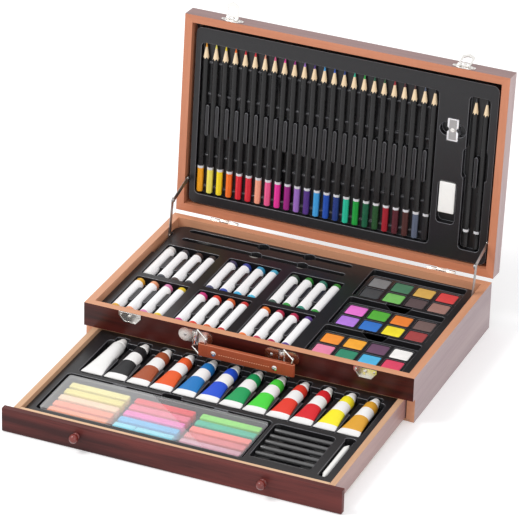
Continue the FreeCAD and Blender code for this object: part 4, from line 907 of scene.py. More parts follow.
# Finishes of this case
class Finishes:
    """Every material of the case, made once and handed out by name."""

    def __init__(self) -> None:
        """Build the materials."""
        recipes = [*self.case_woods(), *self.drawer_woods(), *self.plastics(), *self.metals(),
                   *self.strap(), *self.sticks(), *self.tools()]
        self.made = {recipe.name: recipe.material() for recipe in recipes}

    def __getitem__(self, name: str) -> Material:
        """Material of a name."""
        return self.made[name]

    def several(self, *names: str) -> list[Material]:
        """Materials of several names, in order."""
        return [self.made[name] for name in names]

    def case_woods(self) -> list[Timber]:
        """Boards of the case and the lid: pale inside, stained outside.

        Returns:
            The recipes.
        """
        wood, deep = srgb(222, 162, 126), srgb(176, 112, 80)
        lid, lid_deep = srgb(208, 136, 102), srgb(168, 98, 68)
        inner = srgb(205, 160, 132)
        return [
            Timber("case_left", wood, deep, Grain.Y, 0.35, outside=Side.LEFT),
            Timber("case_back", wood, deep, Grain.X, 0.35, outside=Side.BACK),
            # Right outer face: the stain painted pale mauve-grey, a painted sheen of glancing light.
            Timber("case_right", wood, deep, Grain.Y, 0.35, outside=Side.RIGHT,
                   outer_pale=srgb(172, 146, 148), outer_deep=srgb(146, 118, 122)),
            Timber("front_rail", wood, deep, Grain.X, 0.35, rough=0.4, coat=0.06, shine=0.3,
                   outside=Side.FRONT, outer_pale=srgb(82, 28, 22), outer_deep=srgb(38, 12, 10)),
            Timber("lid_left", lid, lid_deep, Grain.Z, 0.35, outside=Side.LEFT),
            # Right outer face of the lid: the stain painted pale mauve-grey, a painted sheen of glancing
            # light.
            Timber("lid_right", lid, lid_deep, Grain.Z, 0.35, outside=Side.RIGHT,
                   outer_pale=srgb(176, 142, 140), outer_deep=srgb(146, 112, 112)),
            # Top outer face of the lid: the stain painted paler, a painted sheen of the light on it.
            Timber("lid_top", lid, lid_deep, Grain.X, 0.35, outside=Side.LID_TOP,
                   outer_pale=srgb(140, 100, 96), outer_deep=srgb(108, 70, 68)),
            Timber("lid_bottom", lid, lid_deep, Grain.X, 0.35, outside=Side.LID_BOTTOM),
            Timber("lid_back_panel", inner, deep, Grain.X, 0.4, outside=Side.LID_BACK),
            Timber("bottom_ply", inner, deep, Grain.X, 0.5, coat=0.05),
            Timber("shelf_ply", inner, deep, Grain.X, 0.5, coat=0.05),
        ]

    def drawer_woods(self) -> list[Timber]:
        """Boards and knobs of the drawer.

        Returns:
            The recipes.
        """
        side, side_deep = srgb(214, 172, 138), srgb(176, 128, 94)
        return [
            Timber("drawer_face", srgb(112, 50, 46), srgb(56, 22, 22), Grain.X, 1.0, pores=0.5,
                   rough=0.46, coat=0.06, shine=0.25),
            Timber("drawer_pale", srgb(226, 188, 154), srgb(196, 152, 116), Grain.X, 0.4, pores=0.12,
                   rough=0.5, coat=0.05),
            Timber("drawer_side", side, side_deep, Grain.Y, 0.5, rough=0.5, coat=0.05),
            Timber("drawer_right", side, side_deep, Grain.Y, 0.5, rough=0.5, coat=0.05,
                   outside=Side.RIGHT, outer_pale=srgb(184, 150, 146), outer_deep=srgb(154, 118, 116)),
            Timber("knob_lacquer", srgb(132, 44, 36), srgb(72, 20, 18), Grain.Y, 0.6, pores=0.2,
                   rough=0.25, coat=0.6),
        ]

    def plastics(self) -> list[Moulded | Clear]:
        """Trays, palettes and the pastel box.

        Returns:
            The recipes.
        """
        return [
            Moulded("tray_black", srgb(23, 22, 25), srgb(92, 92, 98)),
            # Pale grey finish of the trays' bevels: a painted highlight along the thin rims.
            Moulded("tray_rim_highlight", srgb(100, 100, 106), srgb(120, 120, 126), rough=0.18, shine=0.9),
            Moulded("palette_black", srgb(26, 25, 28), srgb(104, 104, 110), rough=0.22, shine=0.5),
            Moulded("box_black", srgb(70, 68, 73), srgb(128, 128, 134)),
            Clear("clear_cover", (0.96, 0.97, 0.98)),
        ]

    def metals(self) -> list[Metal]:
        """Hardware, ferrule and sharpener.

        Returns:
            The recipes.
        """
        return [
            Metal("nickel", (0.78, 0.76, 0.73), rough=0.14, rise=0.1),
            Metal("zinc", (0.58, 0.57, 0.56), rough=0.28, rise=0.15),
            Metal("brass", (0.85, 0.80, 0.75), rough=0.2, rise=0.12),
            Metal("stay_steel", (0.42, 0.41, 0.41), rough=0.3, rise=0.15),
            Metal("magnesium", (0.92, 0.92, 0.94), rough=0.42, rise=0.14, grain=Grain.X),
        ]

    def strap(self) -> list[Leather | Pigment]:
        """Leather, its pale cut edge and the thread.

        Returns:
            The recipes.
        """
        return [
            Leather("strap_leather", srgb(160, 66, 20)),
            Pigment("leather_edge", srgb(214, 130, 92), rough=0.5, mottle=0.3, relief=0.3),
            Pigment("thread", srgb(228, 158, 120)),
        ]

    def sticks(self) -> list[Pigment]:
        """Crayons, paints, pastels, charcoal and paper; those of no colour take the mesh's tints.

        Returns:
            The recipes.
        """
        return [
            Pigment("wrapper_paper", srgb(255, 254, 255), rough=0.4, mottle=0.02, relief=0.05),
            Pigment("crayon_wax", rough=0.42, mottle=0.25, relief=0.25, coat=0.1),
            Pigment("paint_cake", rough=0.55, mottle=0.35, relief=0.35),
            Pigment("pastel_chalk", rough=0.8, mottle=0.35, relief=0.5, depth=0.2),
            Pigment("charcoal", srgb(40, 40, 42), rough=0.4, mottle=0.3, relief=0.3, coat=0.7, shine=0.6),
            Pigment("tube_lacquer", rough=0.36, mottle=0.08, relief=0.08, coat=0.05, shine=0.25),
            Pigment("cap_white", rough=0.45, mottle=0.04, relief=0.06, shine=0.3),
            Pigment("stump_paper", srgb(246, 245, 242), rough=0.7, mottle=0.1, relief=0.3, grain=Grain.Y),
        ]

    def tools(self) -> list[Pigment | Timber]:
        """Pencils, eraser and brush.

        Returns:
            The recipes.
        """
        return [
            Pigment("pencil_lacquer", rough=0.24, mottle=0.12, relief=0.08, coat=0.1, shine=0.25),
            Timber("cedar", srgb(246, 222, 186), srgb(222, 184, 140), Grain.Z, 0.35, pores=0.12,
                   rough=0.55, coat=0.0),
            Pigment("pencil_lead", rough=0.45),
            Pigment("eraser_rubber", srgb(250, 249, 246), mottle=0.06, relief=0.15),
            Timber("brush_wood", srgb(150, 146, 140), srgb(110, 104, 98), Grain.X, 0.5, pores=0.2,
                   rough=0.35, coat=0.4),
            Pigment("bristle", srgb(70, 52, 40), mottle=0.4, relief=0.6, grain=Grain.X, scale=6.0),
        ]


class Edge(Enum):
    """Width of a carried piece's softened edges, in millimetres."""

    WOOD = 0.5
    MOULDED = 0.4
    PAN = 0.25
    METAL = 0.12
    SHARP = 0.0

    @property
    def painted_rim(self) -> bool:
        """Whether the softened edges get the pale grey bevel finish, a painted highlight along a tray's
        thin rims.
        """
        return self in (Edge.MOULDED, Edge.PAN)


@dataclass
class Carried:
    """CAD pieces shown as they are, with softened edges and a finish."""

    finishes: Finishes
    nodes: dict[str, bpy.types.Object]
    weld: float = 0.001
    flat: float = 0.6
    sharp: float = 32.0
    segments: int = 2
    dress: tuple[tuple[str, Edge, tuple[str, ...]], ...] = (
        ("bottom_ply", Edge.WOOD, ("case_bottom_panel",)),
        ("bottom_ply", Edge.SHARP, ("drawer_bottom",)),
        ("shelf_ply", Edge.SHARP, ("tray_shelf",)),
        ("case_left", Edge.WOOD, ("case_left_side",)),
        ("case_right", Edge.WOOD, ("case_right_side",)),
        ("case_back", Edge.WOOD, ("case_back_panel",)),
        ("front_rail", Edge.WOOD, ("case_front_rail",)),
        ("lid_top", Edge.WOOD, ("lid_front_rail",)),
        ("lid_bottom", Edge.WOOD, ("lid_back_rail",)),
        ("lid_left", Edge.WOOD, ("lid_left_rail",)),
        ("lid_right", Edge.WOOD, ("lid_right_rail",)),
        ("lid_back_panel", Edge.SHARP, ("lid_panel",)),
        ("drawer_face", Edge.WOOD, ("drawer_face",)),
        ("drawer_pale", Edge.WOOD, ("drawer_inner_front",)),
        ("drawer_side", Edge.WOOD, ("drawer_left_side", "drawer_back")),
        ("drawer_right", Edge.WOOD, ("drawer_right_side",)),
        ("tray_black", Edge.MOULDED, ("upper_tray", "lid_tray", "drawer_tray")),
        ("palette_black", Edge.PAN, ("palette_trays",)),
        ("box_black", Edge.METAL, ("pastel_box_base",)),
        ("clear_cover", Edge.METAL, ("pastel_box_cover",)),
        ("magnesium", Edge.METAL, ("sharpener_body",)),
        ("brass", Edge.METAL, ("hinge_lower_leaves", "hinge_upper_leaves")),
        ("zinc", Edge.METAL, ("hinge_pins", "case_screws", "lid_screws")),
        ("zinc", Edge.SHARP, ("latch_pins",)),
        ("nickel", Edge.METAL, ("catch_plates", "handle_plates", "stay_case_pivots", "stay_lid_pivots",
                                "latch_plates", "hasp_left", "hasp_right", "sharpener_screw")),
        ("nickel", Edge.SHARP, ("ring_left", "ring_right")),
        ("stay_steel", Edge.METAL, ("stay_lower_left", "stay_lower_right", "stay_upper_left",
                                    "stay_upper_right", "sharpener_blade")),
    )

    def build(self) -> None:
        """Soften and dress every carried node."""
        for finish, edge, names in self.dress:
            for name in names:
                piece = self.nodes[name]
                piece.data.materials.clear()
                piece.data.materials.append(self.finishes[finish])
                # Moulded trays take a second finish for their bevels: a painted highlight along the rims.
                if edge.painted_rim:
                    piece.data.materials.append(self.finishes["tray_rim_highlight"])
                if edge.value:
                    self.soften(piece, edge)
                LOG.info("dressed %s in %s", name, finish)

    def soften(self, piece: bpy.types.Object, edge: Edge) -> None:
        """Round the sharp edges of a piece.

        Args:
            piece: the CAD node.
            edge: kind of its softened edges.
        """
        weld = piece.modifiers.new("weld", "WELD")
        weld.merge_threshold = self.weld * MM
        flat = piece.modifiers.new("flat", "DECIMATE")
        flat.decimate_type = "DISSOLVE"
        flat.angle_limit = math.radians(self.flat)
        round_off = piece.modifiers.new("edge", "BEVEL")
        round_off.width = edge.value * MM
        round_off.segments = self.segments
        round_off.limit_method = "ANGLE"
        round_off.angle_limit = math.radians(self.sharp)
        round_off.harden_normals = True
        # On moulded trays the bevel faces take the painted-highlight finish.
        round_off.material = 1 if edge.painted_rim else 0
        round_off.use_clamp_overlap = not edge.painted_rim
        round_off.miter_outer = "MITER_ARC"


# Contents of the lid
@dataclass
class Pencils:
    """Coloured and graphite pencils lying in the lid."""

    finishes: Finishes
    lid: Matrix
    first: float = -166.5
    pitch: float = 11.75
    near: float = 23.5
    length: float = 178.0
    radius: float = 3.7
    point: float = 19.0
    dip: float = 29.0
    band: float = 3.0
    band_lift: float = 1.02
    band_step: float = 0.05
    lead: float = 1.25
    lead_end: float = 0.5
    graphite_dip: float = 19.0
    floor: float = -13.25
    graphite_first: float = 151.0
    graphite_pitch: float = 12.5
    graphite_near: float = 25.5
    graphite_length: float = 175.0
    graphite_radius: float = 3.5
    black: Colour = srgb(18, 17, 19)
    silver: Colour = srgb(226, 226, 230)
    graphite: Colour = srgb(60, 60, 64)
    colours: tuple[Colour, ...] = palette((
        (252, 170, 20), (252, 238, 104), (255, 226, 24), (254, 116, 24), (228, 26, 48),
        (226, 36, 56), (254, 170, 140), (246, 96, 152), (240, 50, 160), (160, 26, 132),
        (160, 112, 200), (84, 48, 136), (66, 168, 232), (28, 82, 184), (30, 58, 132),
        (34, 196, 160), (24, 164, 62), (14, 96, 66), (34, 84, 44), (170, 24, 44),
        (90, 30, 42), (80, 42, 40), (94, 104, 126), (26, 26, 30)))

    def pencil(self, sculpt: Sculpt, x: float, near: float, length: float, radius: float,
               tip: Colour, dip: Colour, reach: float, dice: random.Random) -> None:
        """One six-sided pencil with a dipped blunt end, a ring and a scalloped, sharpened end.

        Args:
            sculpt: mesh that it is added to.
            x: its place across the lid.
            near: where its blunt end is.
            length: over all.
            radius: to its corners.
            tip: colour of the lead.
            dip: colour of the dipped end.
            reach: length of the dipped end.
            dice: spread of the small differences.
        """
        black = vary(self.black, dice, 0.2)
        place = Along.Y.place((x, near, self.floor + radius * math.cos(math.pi / 6)))
        outline = hexagon(radius)
        body = length - self.point
        slope = self.point / (radius - self.lead_end)

        def ring(at: float, scale: float) -> list[Point]:
            """Outline scaled at one place along the pencil."""
            return [(u * scale, v * scale, at) for u, v in outline]

        def cut(size: float) -> list[Point]:
            """Round ring of the cone at a radius."""
            return [(u, v, body + (radius - size) * slope) for u, v in circle(size, len(outline))]

        lacquer, cedar, core = range(3)
        last = reach + self.band
        blunt = [ring(0.0, 0.55), ring(0.35, 0.82), ring(1.1, 1.0), ring(reach, 1.0)]
        banded = [ring(reach + self.band_step, self.band_lift),
                  ring(last - self.band_step, self.band_lift), ring(last, 1.0)]
        scallops = [(u, v, body + (radius - math.hypot(u, v)) * slope) for u, v in outline]
        cone = [scallops, cut(radius * 0.72), cut(self.lead), cut(self.lead * 0.55), cut(self.lead_end)]
        tints = [dip] * 3 + [self.silver] * 3 + [black] + [WHITE] * 2 + [tip] * 2
        slots = [lacquer] * 7 + [cedar] * 2 + [core] * 2
        sculpt.loft(place, blunt + banded + cone, slots, tints)

    def build(self) -> None:
        """Lay out both sets of pencils."""
        dice = random.Random(3)
        materials = self.finishes.several("pencil_lacquer", "cedar", "pencil_lead")
        coloured = Sculpt(self.lid)
        for i, colour in enumerate(self.colours):
            self.pencil(coloured, self.first + i * self.pitch, self.near, self.length, self.radius,
                        colour, colour, self.dip, dice)
        coloured.finish("colour_pencil_set", "lid", materials, ["colour_pencils"], "pencil_wood")
        graphite = Sculpt(self.lid)
        for i in range(2):
            self.pencil(graphite, self.graphite_first + i * self.graphite_pitch, self.graphite_near,
                        self.graphite_length, self.graphite_radius, self.graphite, self.black,
                        self.graphite_dip, dice)
        graphite.finish("graphite_pencil_pair", "lid", materials, ["graphite_pencils"], "pencil_wood")


@dataclass
class Stationery:
    """Eraser in the lid."""

    finishes: Finishes
    lid: Matrix
    seat: Point = (127.2, 80.65, -14.25)
    size: Point = (18.3, 36.2, 9.0)
    corner: float = 1.2
    soft: float = 0.8
    crown: float = 0.25

    def build(self) -> None:
        """Make the bare eraser."""
        eraser = Sculpt(self.lid)
        eraser.block(Along.Z.place(self.seat), self.size, self.corner, self.soft, crown=self.crown)
        eraser.finish("eraser_block", "lid", self.finishes.several("eraser_rubber"), ["eraser"],
                      "rubber")


# Contents of the upper tray
@dataclass
class Crayons:
    """Oil crayons in paper wrappers, four to a cell."""

    finishes: Finishes
    cell_pitch: float = 74.5
    pitch: float = 16.6
    length: float = 68.0
    tip: float = 2.4
    wrap: float = 57.6
    radius: float = 5.8
    core: float = 5.45
    fold: float = 0.14
    colours: dict[tuple[int, int], tuple[Colour, ...]] = field(default_factory=lambda: {
        key: palette(row) for key, row in {
            (0, 0): ((246, 246, 244), (62, 66, 76), (66, 46, 40), (38, 38, 40)),
            (1, 0): ((58, 62, 106), (36, 66, 172), (56, 176, 222), (70, 192, 228)),
            (2, 0): ((40, 78, 62), (24, 150, 44), (20, 140, 118), (26, 152, 36)),
            (0, 1): ((246, 188, 56), (252, 170, 126), (238, 140, 194), (252, 218, 36)),
            (1, 1): ((216, 44, 132), (238, 56, 26), (242, 110, 46), (226, 42, 38)),
            (2, 1): ((252, 124, 36), (208, 30, 76), (198, 22, 80), (88, 46, 152))}.items()})

    def build(self) -> None:
        """Fill all six cells."""
        dice = random.Random(7)
        seat = Extent.of("crayon_cores")
        starts = (seat.high.y - self.length, seat.low.y)
        end, core = self.length, self.core
        near, far = self.tip, self.tip + self.wrap
        fold = self.radius - self.fold
        cores, wraps = Sculpt(), Sculpt()
        for (column, row), colours in self.colours.items():
            for i, colour in enumerate(colours):
                x = seat.low.x + core + column * self.cell_pitch + i * self.pitch
                place = Along.Y.place((x, starts[row], seat.middle.z))
                tint = vary(colour, dice, 0.05)
                cores.turned(place, ((0.0, core - 1.6), (0.4, core - 0.7), (1.1, core),
                                     (end - 2.2, core), (end - 1.3, core - 0.5), (end - 0.4, core - 1.5),
                                     (end, core - 2.8)), 0, tint)
                wraps.turned(place, ((near, core + 0.04), (near + 0.01, fold), (near + 0.2, self.radius),
                                     (far - 0.2, self.radius), (far - 0.01, fold), (far, core + 0.04)))
        cores.finish("crayon_core_set", "case", self.finishes.several("crayon_wax"),
                     ["crayon_cores"], "crayon_wax")
        wraps.finish("crayon_wrapper_set", "case", self.finishes.several("wrapper_paper"),
                     ["crayon_wrappers"], "paper")


@dataclass
class Paints:
    """Cakes of dry paint in the three palettes."""

    finishes: Finishes
    size: Point = (21.2, 20.5, 2.6)
    corner: float = 2.2
    soft: float = 0.9
    pitch: float = 26.2
    row_pitch: float = 25.3
    tray_pitch: float = 69.0
    colours: tuple[tuple[Colour, ...], ...] = field(default_factory=lambda: tuple(
        palette(row) for row in (
            ((130, 130, 132), (60, 125, 90), (225, 178, 80), (232, 58, 60)),
            ((55, 58, 62), (120, 200, 95), (85, 65, 68), (165, 120, 110)),
            ((246, 118, 220), (74, 176, 34), (252, 134, 20), (110, 84, 80)),
            ((192, 126, 240), (20, 112, 204), (252, 232, 10), (170, 50, 50)),
            ((252, 146, 24), (252, 170, 26), (98, 56, 90), (252, 250, 248)),
            ((248, 138, 176), (10, 140, 104), (70, 184, 232), (234, 54, 98)))))

    def build(self) -> None:
        """Set the cakes in their pans."""
        dice = random.Random(11)
        seat = Extent.of("paint_cakes")
        cakes = Sculpt()
        width, length, _ = self.size
        for line, colours in enumerate(self.colours):
            tray, row = divmod(line, 2)
            y = seat.high.y - length / 2 - tray * self.tray_pitch - row * self.row_pitch
            for column, colour in enumerate(colours):
                x = seat.low.x + width / 2 + column * self.pitch
                cakes.block(Along.Z.place((x, y, seat.low.z)), self.size, self.corner, self.soft,
                            tint=vary(colour, dice))
        cakes.finish("paint_cake_set", "case", self.finishes.several("paint_cake"),
                     ["paint_cakes"], "paint")


@dataclass
class Brush:
    """Paint brush in the front slot of the upper tray."""

    finishes: Finishes
    bristles: Outline = field(default_factory=lambda: [
        (0.0, 0.3), (3.5, 0.9), (7.5, 1.45), (11.0, 1.6), (14.0, 1.75)])
    ferrule: Outline = field(default_factory=lambda: [
        (14.0, 2.0), (15.0, 2.1), (16.0, 2.02), (25.0, 2.02), (26.0, 2.1), (27.0, 2.02), (29.6, 2.1),
        (30.0, 1.95)])
    handle: Outline = field(default_factory=lambda: [
        (34.0, 2.2), (46.0, 2.4), (75.0, 2.3), (115.0, 1.9), (160.0, 1.3), (184.0, 0.85), (188.0, 0.4)])

    def build(self) -> None:
        """Turn the bristles, ferrule and handle."""
        seat = Extent.of("paint_brush")
        brush = Sculpt()
        slots = [0] * (len(self.bristles) - 1) + [1] * len(self.ferrule) + [2] * len(self.handle)
        brush.turned(Along.X.place((seat.low.x, seat.middle.y, seat.middle.z)),
                     self.bristles + self.ferrule + self.handle, slots, count=20)
        brush.finish("fine_brush", "case", self.finishes.several("bristle", "nickel", "brush_wood"),
                     ["paint_brush"], "brush_wood")


# Contents of the drawer
@dataclass
class PaintTubes:
    """Tubes of paint lying side by side with folded ends."""

    finishes: Finishes
    first: float = -142.6
    pitch: float = 26.54
    crimp_y: float = -198.5
    crimp_z: float = 21.75
    slope: float = 2.724
    length: float = 82.0
    cap: float = 11.5
    radius: float = 7.4
    crimp: float = 24.4
    fold_pitch: float = 1.4
    fold_end: float = 4.5
    shoulder: float = 3.5
    inset: float = 0.05
    white: Colour = srgb(242, 241, 240)
    cap_white: Colour = srgb(250, 249, 247)
    shape: tuple[tuple[float, float, float, bool], ...] = (
        (0.03, 0.97, 0.16, False), (0.09, 0.93, 0.25, False), (0.25, 0.86, 0.45, True),
        (0.40, 0.79, 0.62, True), (0.52, 0.73, 0.755, True), (0.70, 0.675, 0.88, False),
        (0.80, 0.65, 0.93, False), (0.93, 0.625, 0.985, True))
    cap_shape: tuple[tuple[float, float], ...] = (
        (0.05, 5.6), (0.5, 5.95), (2.3, 5.95), (2.6, 5.6), (9.5, 4.55), (10.8, 4.2), (11.5, 3.6))
    ribbed: tuple[float, float] = (2.5, 10.0)
    rib: float = 0.12
    colours: tuple[Colour, ...] = palette((
        (240, 240, 238), (30, 30, 33), (165, 80, 45), (232, 92, 38), (22, 118, 190),
        (30, 80, 208), (20, 155, 88), (72, 212, 62), (226, 56, 38), (216, 30, 40),
        (250, 234, 40), (222, 162, 48)))

    def oval(self, along: float, half_x: float, half_z: float, lump: float = 0.0,
             count: int = 32) -> list[Point]:
        """Oval ring across a tube, slightly dented.

        Args:
            along: its place along the tube.
            half_x, half_z: half of its width and height.
            lump: depth of the dents, as a share of its height.
            count: points round it.

        Returns:
            The ring's points.
        """
        ring = []
        for k in range(count):
            turn = math.tau * k / count
            dent = 1 - lump * max(0.0, math.sin(turn * 3 + along)) * 0.5
            ring.append((half_z * math.sin(turn) * dent, half_x * math.cos(turn), along))
        return ring

    def tube(self, bodies: Sculpt, caps: Sculpt, x: float, colour: Colour,
             dice: random.Random) -> None:
        """One tube with its cap.

        Args:
            bodies, caps: meshes that it is added to.
            x: its place across the drawer.
            colour: of its paint.
            dice: spread of the small differences.
        """
        place = (Matrix.Translation((x, self.crimp_y, self.crimp_z))
                 @ Matrix.Rotation(math.radians(-self.slope), 4, "X") @ Along.Y.place((0.0, 0.0, 0.0)))
        end = self.length - self.cap
        span = end - self.shoulder - self.fold_end
        half = self.crimp / 2
        rings, tints = [], []
        for k in range(4):
            rings.append(self.oval(0.1 + k * self.fold_pitch, half - self.inset, 0.75 if k % 2 else 0.6))
            tints.append(self.white)
        for share, wide, high, painted in self.shape:
            lump = dice.uniform(0.0, 0.02)
            rings.append(self.oval(self.fold_end + span * share, half * wide - self.inset,
                                   self.radius * high - 2 * self.inset, lump))
            tints.append(colour if painted else self.white)
        for at, radius, tint in ((end - self.shoulder, self.radius - self.inset, colour),
                                 (end - 2.2, self.radius - 0.9, self.white),
                                 (end - 1.0, self.radius - 2.4, self.white),
                                 (end, 4.15, self.white)):
            rings.append(self.oval(at, radius, radius))
            tints.append(tint)
        bodies.loft(place, rings, 0, tints[1:])
        low, high = self.ribbed
        ridged = []
        for at, radius in self.cap_shape:
            rib = self.rib if low < at < high else 0.0
            ridged.append([(u * (1 - k % 2 * rib / radius), v * (1 - k % 2 * rib / radius), end + at)
                           for k, (u, v) in enumerate(circle(radius, 48))])
        caps.loft(place, ridged, 0, self.cap_white)

    def build(self) -> None:
        """Lay out the row of tubes."""
        dice = random.Random(5)
        bodies, caps = Sculpt(), Sculpt()
        for i, colour in enumerate(self.colours):
            self.tube(bodies, caps, self.first + i * self.pitch, colour, dice)
        bodies.finish("paint_tube_set", "drawer", self.finishes.several("tube_lacquer"),
                      ["tube_bodies"], "tube_foil")
        caps.finish("tube_cap_set", "drawer", self.finishes.several("cap_white"), ["tube_caps"],
                    "cap_plastic")


@dataclass
class DrySticks:
    """Pastels in their box, charcoal sticks and the paper stump."""

    finishes: Finishes
    columns: tuple[tuple[float, float], ...] = ((-154.2, -86.63), (-79.13, -11.57), (-4.07, 63.5))
    first: float = -223.5
    pitch: float = 13.5
    side: float = 9.5
    base: float = 9.3
    broken: float = 24.0
    gap: float = 1.0
    corner: float = 1.0
    charcoal_start: Point = (75.5, -216.0, 17.05)
    charcoal_pitch: float = 12.3
    charcoal_count: int = 6
    charcoal_radius: float = 2.6
    stump_start: Point = (156.7, -283.5, 17.6)
    stump_shape: tuple[tuple[float, float], ...] = (
        (0.0, 0.35), (8.0, 3.4), (9.0, 3.5), (62.5, 3.5), (63.5, 3.4), (71.5, 0.5))
    colours: tuple[tuple[Colour, ...], ...] = field(default_factory=lambda: tuple(
        palette(row) for row in (
            ((250, 238, 150), (248, 232, 130), (252, 214, 176), (252, 146, 110), (250, 148, 100)),
            ((240, 40, 60), (246, 104, 138), (242, 104, 190), (86, 184, 240), (120, 224, 246)),
            ((134, 222, 92), (30, 184, 148), (250, 130, 120), (232, 120, 126), (214, 150, 170)))))

    def pastel(self, sculpt: Sculpt, start: Point, length: float, tint: Colour,
               dice: random.Random) -> None:
        """One square stick with worn ends.

        Args:
            sculpt: mesh that it is added to.
            start: middle of its near end.
            length: of the stick.
            tint: its colour.
            dice: spread of the small differences.
        """
        rings = []
        for at, inset in ((0.0, 1.0), (0.3, 0.35), (0.9, 0.0), (length - 0.9, 0.0),
                          (length - 0.3, 0.35), (length, 1.0)):
            side = self.side - 2 * inset - dice.uniform(0.0, 0.08)
            rings.append([(u, v, at) for u, v in rounded(side, side, self.corner)])
        sculpt.loft(Along.X.place(start), rings, 0, tint)

    def pastels(self, dice: random.Random) -> None:
        """Lay the pastels in their box; one stick is broken in two.

        Args:
            dice: spread of the small differences.
        """
        sculpt = Sculpt()
        for column, (left, right) in enumerate(self.columns):
            colours = self.colours[column]
            for row, colour in enumerate(colours):
                start = (left, self.first - row * self.pitch, self.base + self.side / 2)
                spans = [(left, right)]
                if column == 1 and row == len(colours) - 1:
                    spans = [(left, left + self.broken), (left + self.broken + self.gap, right)]
                for a, b in spans:
                    self.pastel(sculpt, (a, *start[1:]), b - a, vary(colour, dice, 0.05), dice)
        sculpt.finish("pastel_stick_set", "drawer", self.finishes.several("pastel_chalk"),
                      ["pastel_sticks"], "pastel")

    def charcoals(self, dice: random.Random) -> None:
        """Lay the charcoal sticks side by side.

        Args:
            dice: spread of the small differences.
        """
        sculpt = Sculpt()
        x, y, z = self.charcoal_start
        for k in range(self.charcoal_count):
            profile = [(0.0, 1.9), (0.4, 2.4)]
            profile += [(2.0 + j * 7.7, self.charcoal_radius - dice.uniform(0.0, 0.18))
                        for j in range(9)]
            profile += [(65.2, 2.4), (65.5, 1.8)]
            sculpt.turned(Along.X.place((x, y - k * self.charcoal_pitch, z)), profile, count=20)
        sculpt.finish("charcoal_stick_set", "drawer", self.finishes.several("charcoal"),
                      ["charcoal_sticks"], "charcoal")

    def stump(self) -> None:
        """Turn the paper stump."""
        sculpt = Sculpt()
        sculpt.turned(Along.Y.place(self.stump_start), self.stump_shape, count=24)
        sculpt.finish("paper_stump", "drawer", self.finishes.several("stump_paper"),
                      ["blending_stump"], "paper")

    def build(self) -> None:
        """Lay out the sticks."""
        dice = random.Random(13)
        self.pastels(dice)
        self.charcoals(dice)
        self.stump()


@dataclass
class Knobs:
    """Two turned knobs on the drawer face."""

    finishes: Finishes
    spread: float = 104.5
    neck: Outline = field(default_factory=lambda: [(-0.02, 4.0), (0.6, 4.0), (1.0, 3.6), (1.4, 3.0)])
    ball: float = 5.0
    ball_at: float = 6.15
    ball_from: float = -38.0
    ball_sweep: float = 128.0
    ball_rings: int = 10

    def build(self) -> None:
        """Turn the knobs."""
        seat = Extent.of("drawer_knobs")
        knobs = Sculpt()
        profile = list(self.neck)
        for k in range(self.ball_rings + 1):
            turn = math.radians(self.ball_from + self.ball_sweep * k / self.ball_rings)
            profile.append((self.ball_at + self.ball * math.sin(turn), self.ball * math.cos(turn)))
        for side in (-1, 1):
            centre = (side * self.spread, seat.high.y, seat.middle.z)
            place = Along.Y.place(centre) @ Matrix.Rotation(math.pi, 4, "X")
            knobs.turned(place, profile, count=36, thinnest=0.05)
        knobs.finish("knob_pair", "drawer", self.finishes.several("knob_lacquer"), ["drawer_knobs"],
                     "knob_wood", 50.0)


